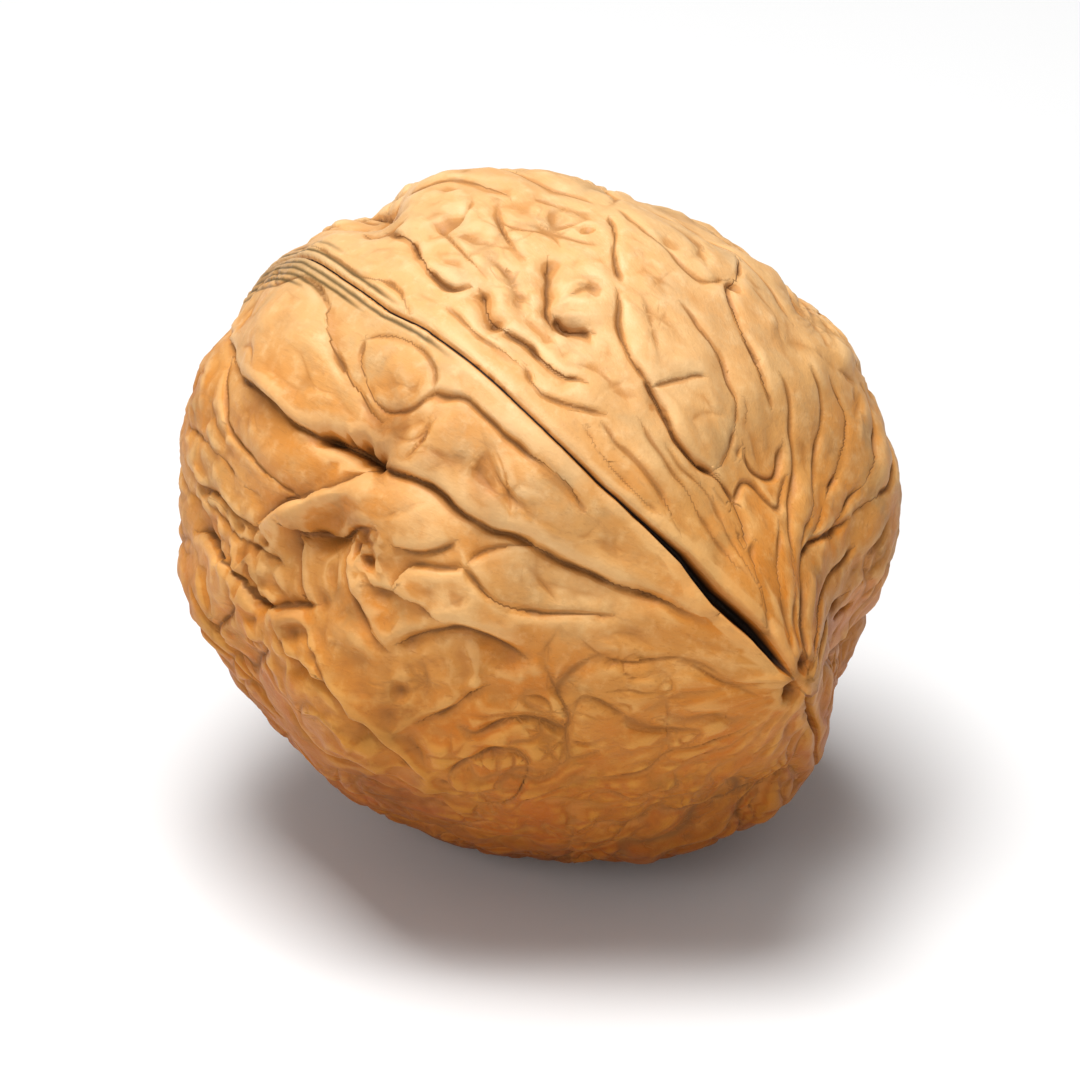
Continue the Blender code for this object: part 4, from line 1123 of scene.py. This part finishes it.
def fine_seam_lines(shader, streak):
    """Thin lines that run beside the seam, and the dusky band that they lie in."""
    waver = shader.product(shader.compute("SUBTRACT", streak, 0.5), SEAM_WAVER)
    beside = shader.compute("ADD", shader.mark("seam_side"), waver)
    place, width, strength = SEAM_BAND
    band = shader.product(shader.hill(shader.compute("SUBTRACT", beside, place), width), strength)
    lines = shader.product(band, shader.mark("base_end"))
    far = shader.mark("from_tip")
    for place, strength, start in SEAM_LINES:
        shown = shader.ramp(far, start, start + SEAM_LINE_FADE, 0.0, strength)
        line = shader.hill(shader.compute("SUBTRACT", beside, place), SEAM_LINE_SHOWN)
        lines = shader.greatest(lines, shader.product(line, shown))
    return shader.product(lines, shader.mark("lined"), SEAM_LINES_SHARE)


def layered(shader, colour, values, layers):
    """The colour with others over it, each where its value is high."""
    for name, low, high, share, tint in layers:
        colour = shader.mix(shader.ramp(values[name], low, high, 0.0, share), colour, tint)
    return colour


def painted_light_and_wear(shader, colour, noises, lower_half, height):
    """Paler at the top, in the pale patches and on the crests: painted light on the top, painted light in
    the patches, partly paler shell, and a painted highlight on the crests, partly wear.
    """
    # painted light: the top is paler
    top = shader.product(shader.ramp(height, *LIT_TOP_HEIGHTS), shader.ramp(lower_half, *LIT_TOP_HALVES), LIT_TOP_SHARE)
    colour = shader.mix(top, colour, CREAM)
    # pale patches: painted light, partly paler shell
    patches = shader.product(shader.mark("pale"), shader.ramp(noises["mottle"], *PALE_MOTTLES))
    colour = shader.mix(patches, colour, CREAM)
    # crests: a painted highlight, partly wear
    sunk = shader.compute("ADD", shader.mark("hollow_small"), shader.product(noises["grain"], CREST_GRAIN))
    return shader.mix(shader.product(shader.ramp(sunk, *CREST_HEIGHTS), CREST_SHARE), colour, CREAM)


def richer_and_shaded(shader, colour, lower_half, height, tip_distance):
    """Darker and richer in the lower parts and at the tip, and browner underneath: painted shade, with a
    painted shadow at the tip, partly the shell's own richer colour low down.
    """
    rich_and_shaded = shader.greatest(
        shader.ramp(height, *SHADED_LOW_HEIGHTS),
        shader.ramp(tip_distance, *SHADED_TIP_DISTANCES),
        shader.ramp(lower_half, *SHADED_LOWER_HALVES),
    )
    # painted shade in the lower parts and a painted shadow at the tip, partly richer real colour
    colour = shader.mix(rich_and_shaded, colour, RICH_AND_SHADE_TINT, "MULTIPLY")
    # painted shade underneath
    return shader.mix(shader.ramp(height, *SHADED_UNDERSIDE_HEIGHTS), colour, STAIN_AND_SHADE_TINT, "MULTIPLY")


def seam_shade(shader):
    """Where the seam and its gap are dark: the closed seam's dark joint, and painted shade in the open gap.
    """
    across = shader.compute("ABSOLUTE", shader.mark("seam_side"))
    inside = shader.compute("DIVIDE", across, shader.mark("seam_open"))
    return shader.product(shader.ramp(inside, *SEAM_SHADES), shader.mark("seam_strength"))


def roughen_surface(shader, noises, lines):
    """Matt where dust lies and in the lines, with the finest roughness in the normals."""
    rough = shader.ramp(noises["dust"], *ROUGHNESSES)
    rough = shader.compute("ADD", rough, shader.product(lines, LINE_ROUGHNESS))
    shader.join(rough, shader.surface.inputs["Roughness"])
    shader.surface.inputs["Specular IOR Level"].default_value = SPECULAR
    height = shader.product(lines, -LINE_BUMP)
    for name, share in BUMPS:
        height = shader.compute("ADD", height, shader.product(noises[name], share))
    relief = shader.add("ShaderNodeBump")
    relief.inputs["Strength"].default_value = BUMP_STRENGTH
    relief.inputs["Distance"].default_value = BUMP_HEIGHT * MM
    shader.join(height, relief.inputs["Height"])
    shader.join(relief.outputs[0], shader.surface.inputs["Normal"])


def shell_material():
    """Dry light brown shell: blotches and streaks along the meridians, dark creases that are partly painted
    shade, painted shade in the hollows and low down, painted light on the top, and pale crests that are
    partly a painted highlight and partly wear.
    """
    shader = Shader("walnut shell")
    place = shader.stretch(shader.add("ShaderNodeTexCoord").outputs["Object"], (1.0 / MM,) * 3)
    barrel = shader.mark("barrel", "Vector")
    fields = {
        "place": place,
        "blotched": shader.stretch(barrel, (1.0, 1.0, BLOTCH_STRETCH)),
        "streaked": shader.stretch(barrel, (1.0, 1.0, STREAK_STRETCH)),
    }
    noises = {name: shader.noise(fields[field], *values) for name, field, *values in NOISES}
    height, lower_half = shader.third(place), shader.mark("lower_half")

    colour = layered(shader, TAN, noises, LAYERS)
    colour = painted_light_and_wear(shader, colour, noises, lower_half, height)
    colour = richer_and_shaded(shader, colour, lower_half, height, shader.third(barrel))
    hollows = {name: shader.mark(name) for name, _ in HOLLOW_REACHES}
    # painted shade in the hollows
    colour = layered(shader, colour, hollows, HOLLOW_SHADE_LAYERS)
    # stain patches, partly painted shade
    stained_and_shaded = shader.product(shader.mark("stain_and_shade"), shader.ramp(noises["dust"], *STAIN_AND_SHADE_DUSTS))
    colour = shader.mix(shader.compute("MINIMUM", stained_and_shaded, 1.0), colour, STAIN_AND_SHADE_TINT, "MULTIPLY")
    lines = shell_lines(shader, noises["mottle"])
    shown = shader.product(shader.compute("MINIMUM", lines, 1.0), LINE_SHARE)
    # crease lines: partly painted shade
    colour = shader.mix(shown, colour, LINE_BROWN)
    colour = shader.mix(fine_seam_lines(shader, noises["streak"]), colour, OLIVE)
    # painted shade in the open gap
    colour = shader.mix(seam_shade(shader), colour, GAP_BLACK)
    shader.join(colour, shader.surface.inputs["Base Color"])
    roughen_surface(shader, noises, lines)
    return shader.material


def make_floor():
    """A plain white sheet under the nut, far larger than the view."""
    mesh = bpy.data.meshes.new("floor")
    shape = bmesh.new()
    bmesh.ops.create_grid(shape, x_segments=1, y_segments=1, size=FLOOR_SIZE)
    shape.to_mesh(mesh)
    shape.free()
    floor = bpy.data.objects.new("floor", mesh)
    bpy.context.scene.collection.objects.link(floor)
    shader = Shader("white paper")
    shader.surface.inputs["Base Color"].default_value = PAPER
    shader.surface.inputs["Roughness"].default_value = PAPER_ROUGHNESS
    mesh.materials.append(shader.material)
    return floor


def aimed(obj, place, target):
    """Puts a light or the camera at a place, looking at the target."""
    obj.location = place
    obj.rotation_euler = (Vector(target) - Vector(place)).to_track_quat("-Z", "Y").to_euler()
    bpy.context.scene.collection.objects.link(obj)
    return obj


def make_lights(target):
    for name, place, size, power in LIGHTS:
        lamp = bpy.data.lights.new(name, "AREA")
        lamp.size = size
        lamp.energy = power
        aimed(bpy.data.objects.new(name, lamp), place, target).visible_camera = False
    world = bpy.data.worlds.new("studio")
    world.use_nodes = True
    world.node_tree.nodes["Background"].inputs["Color"].default_value = (1.0, 1.0, 1.0, 1.0)
    world.node_tree.nodes["Background"].inputs["Strength"].default_value = WORLD_LIGHT
    bpy.context.scene.world = world
    bpy.context.scene.view_settings.view_transform = "Standard"


def make_camera(target):
    elevation = math.radians(VIEW_ELEVATION)
    away = Vector((0.0, -math.cos(elevation), math.sin(elevation))) * VIEW_DISTANCE * MM
    lens = bpy.data.cameras.new("camera")
    lens.sensor_width = SENSOR_WIDTH
    lens.lens = SENSOR_WIDTH * VIEW_DISTANCE / VIEW_WIDTH
    lens.clip_start = CLIP_START
    bpy.context.scene.camera = aimed(bpy.data.objects.new("camera", lens), Vector(target) + away, target)


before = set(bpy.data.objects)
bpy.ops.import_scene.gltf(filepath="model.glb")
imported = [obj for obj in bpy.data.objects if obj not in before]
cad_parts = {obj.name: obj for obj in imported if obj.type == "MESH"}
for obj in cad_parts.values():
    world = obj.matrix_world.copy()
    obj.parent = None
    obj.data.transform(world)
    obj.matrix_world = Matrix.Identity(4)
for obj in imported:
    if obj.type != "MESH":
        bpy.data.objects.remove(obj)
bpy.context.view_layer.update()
centre = (0.0, 0.0, REST_HEIGHT * MM)
shell = make_shell()
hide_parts("walnut")
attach(shell, "root")
make_floor()
make_lights(centre)
make_camera((0.0, 0.0, LOOK_HEIGHT * MM))
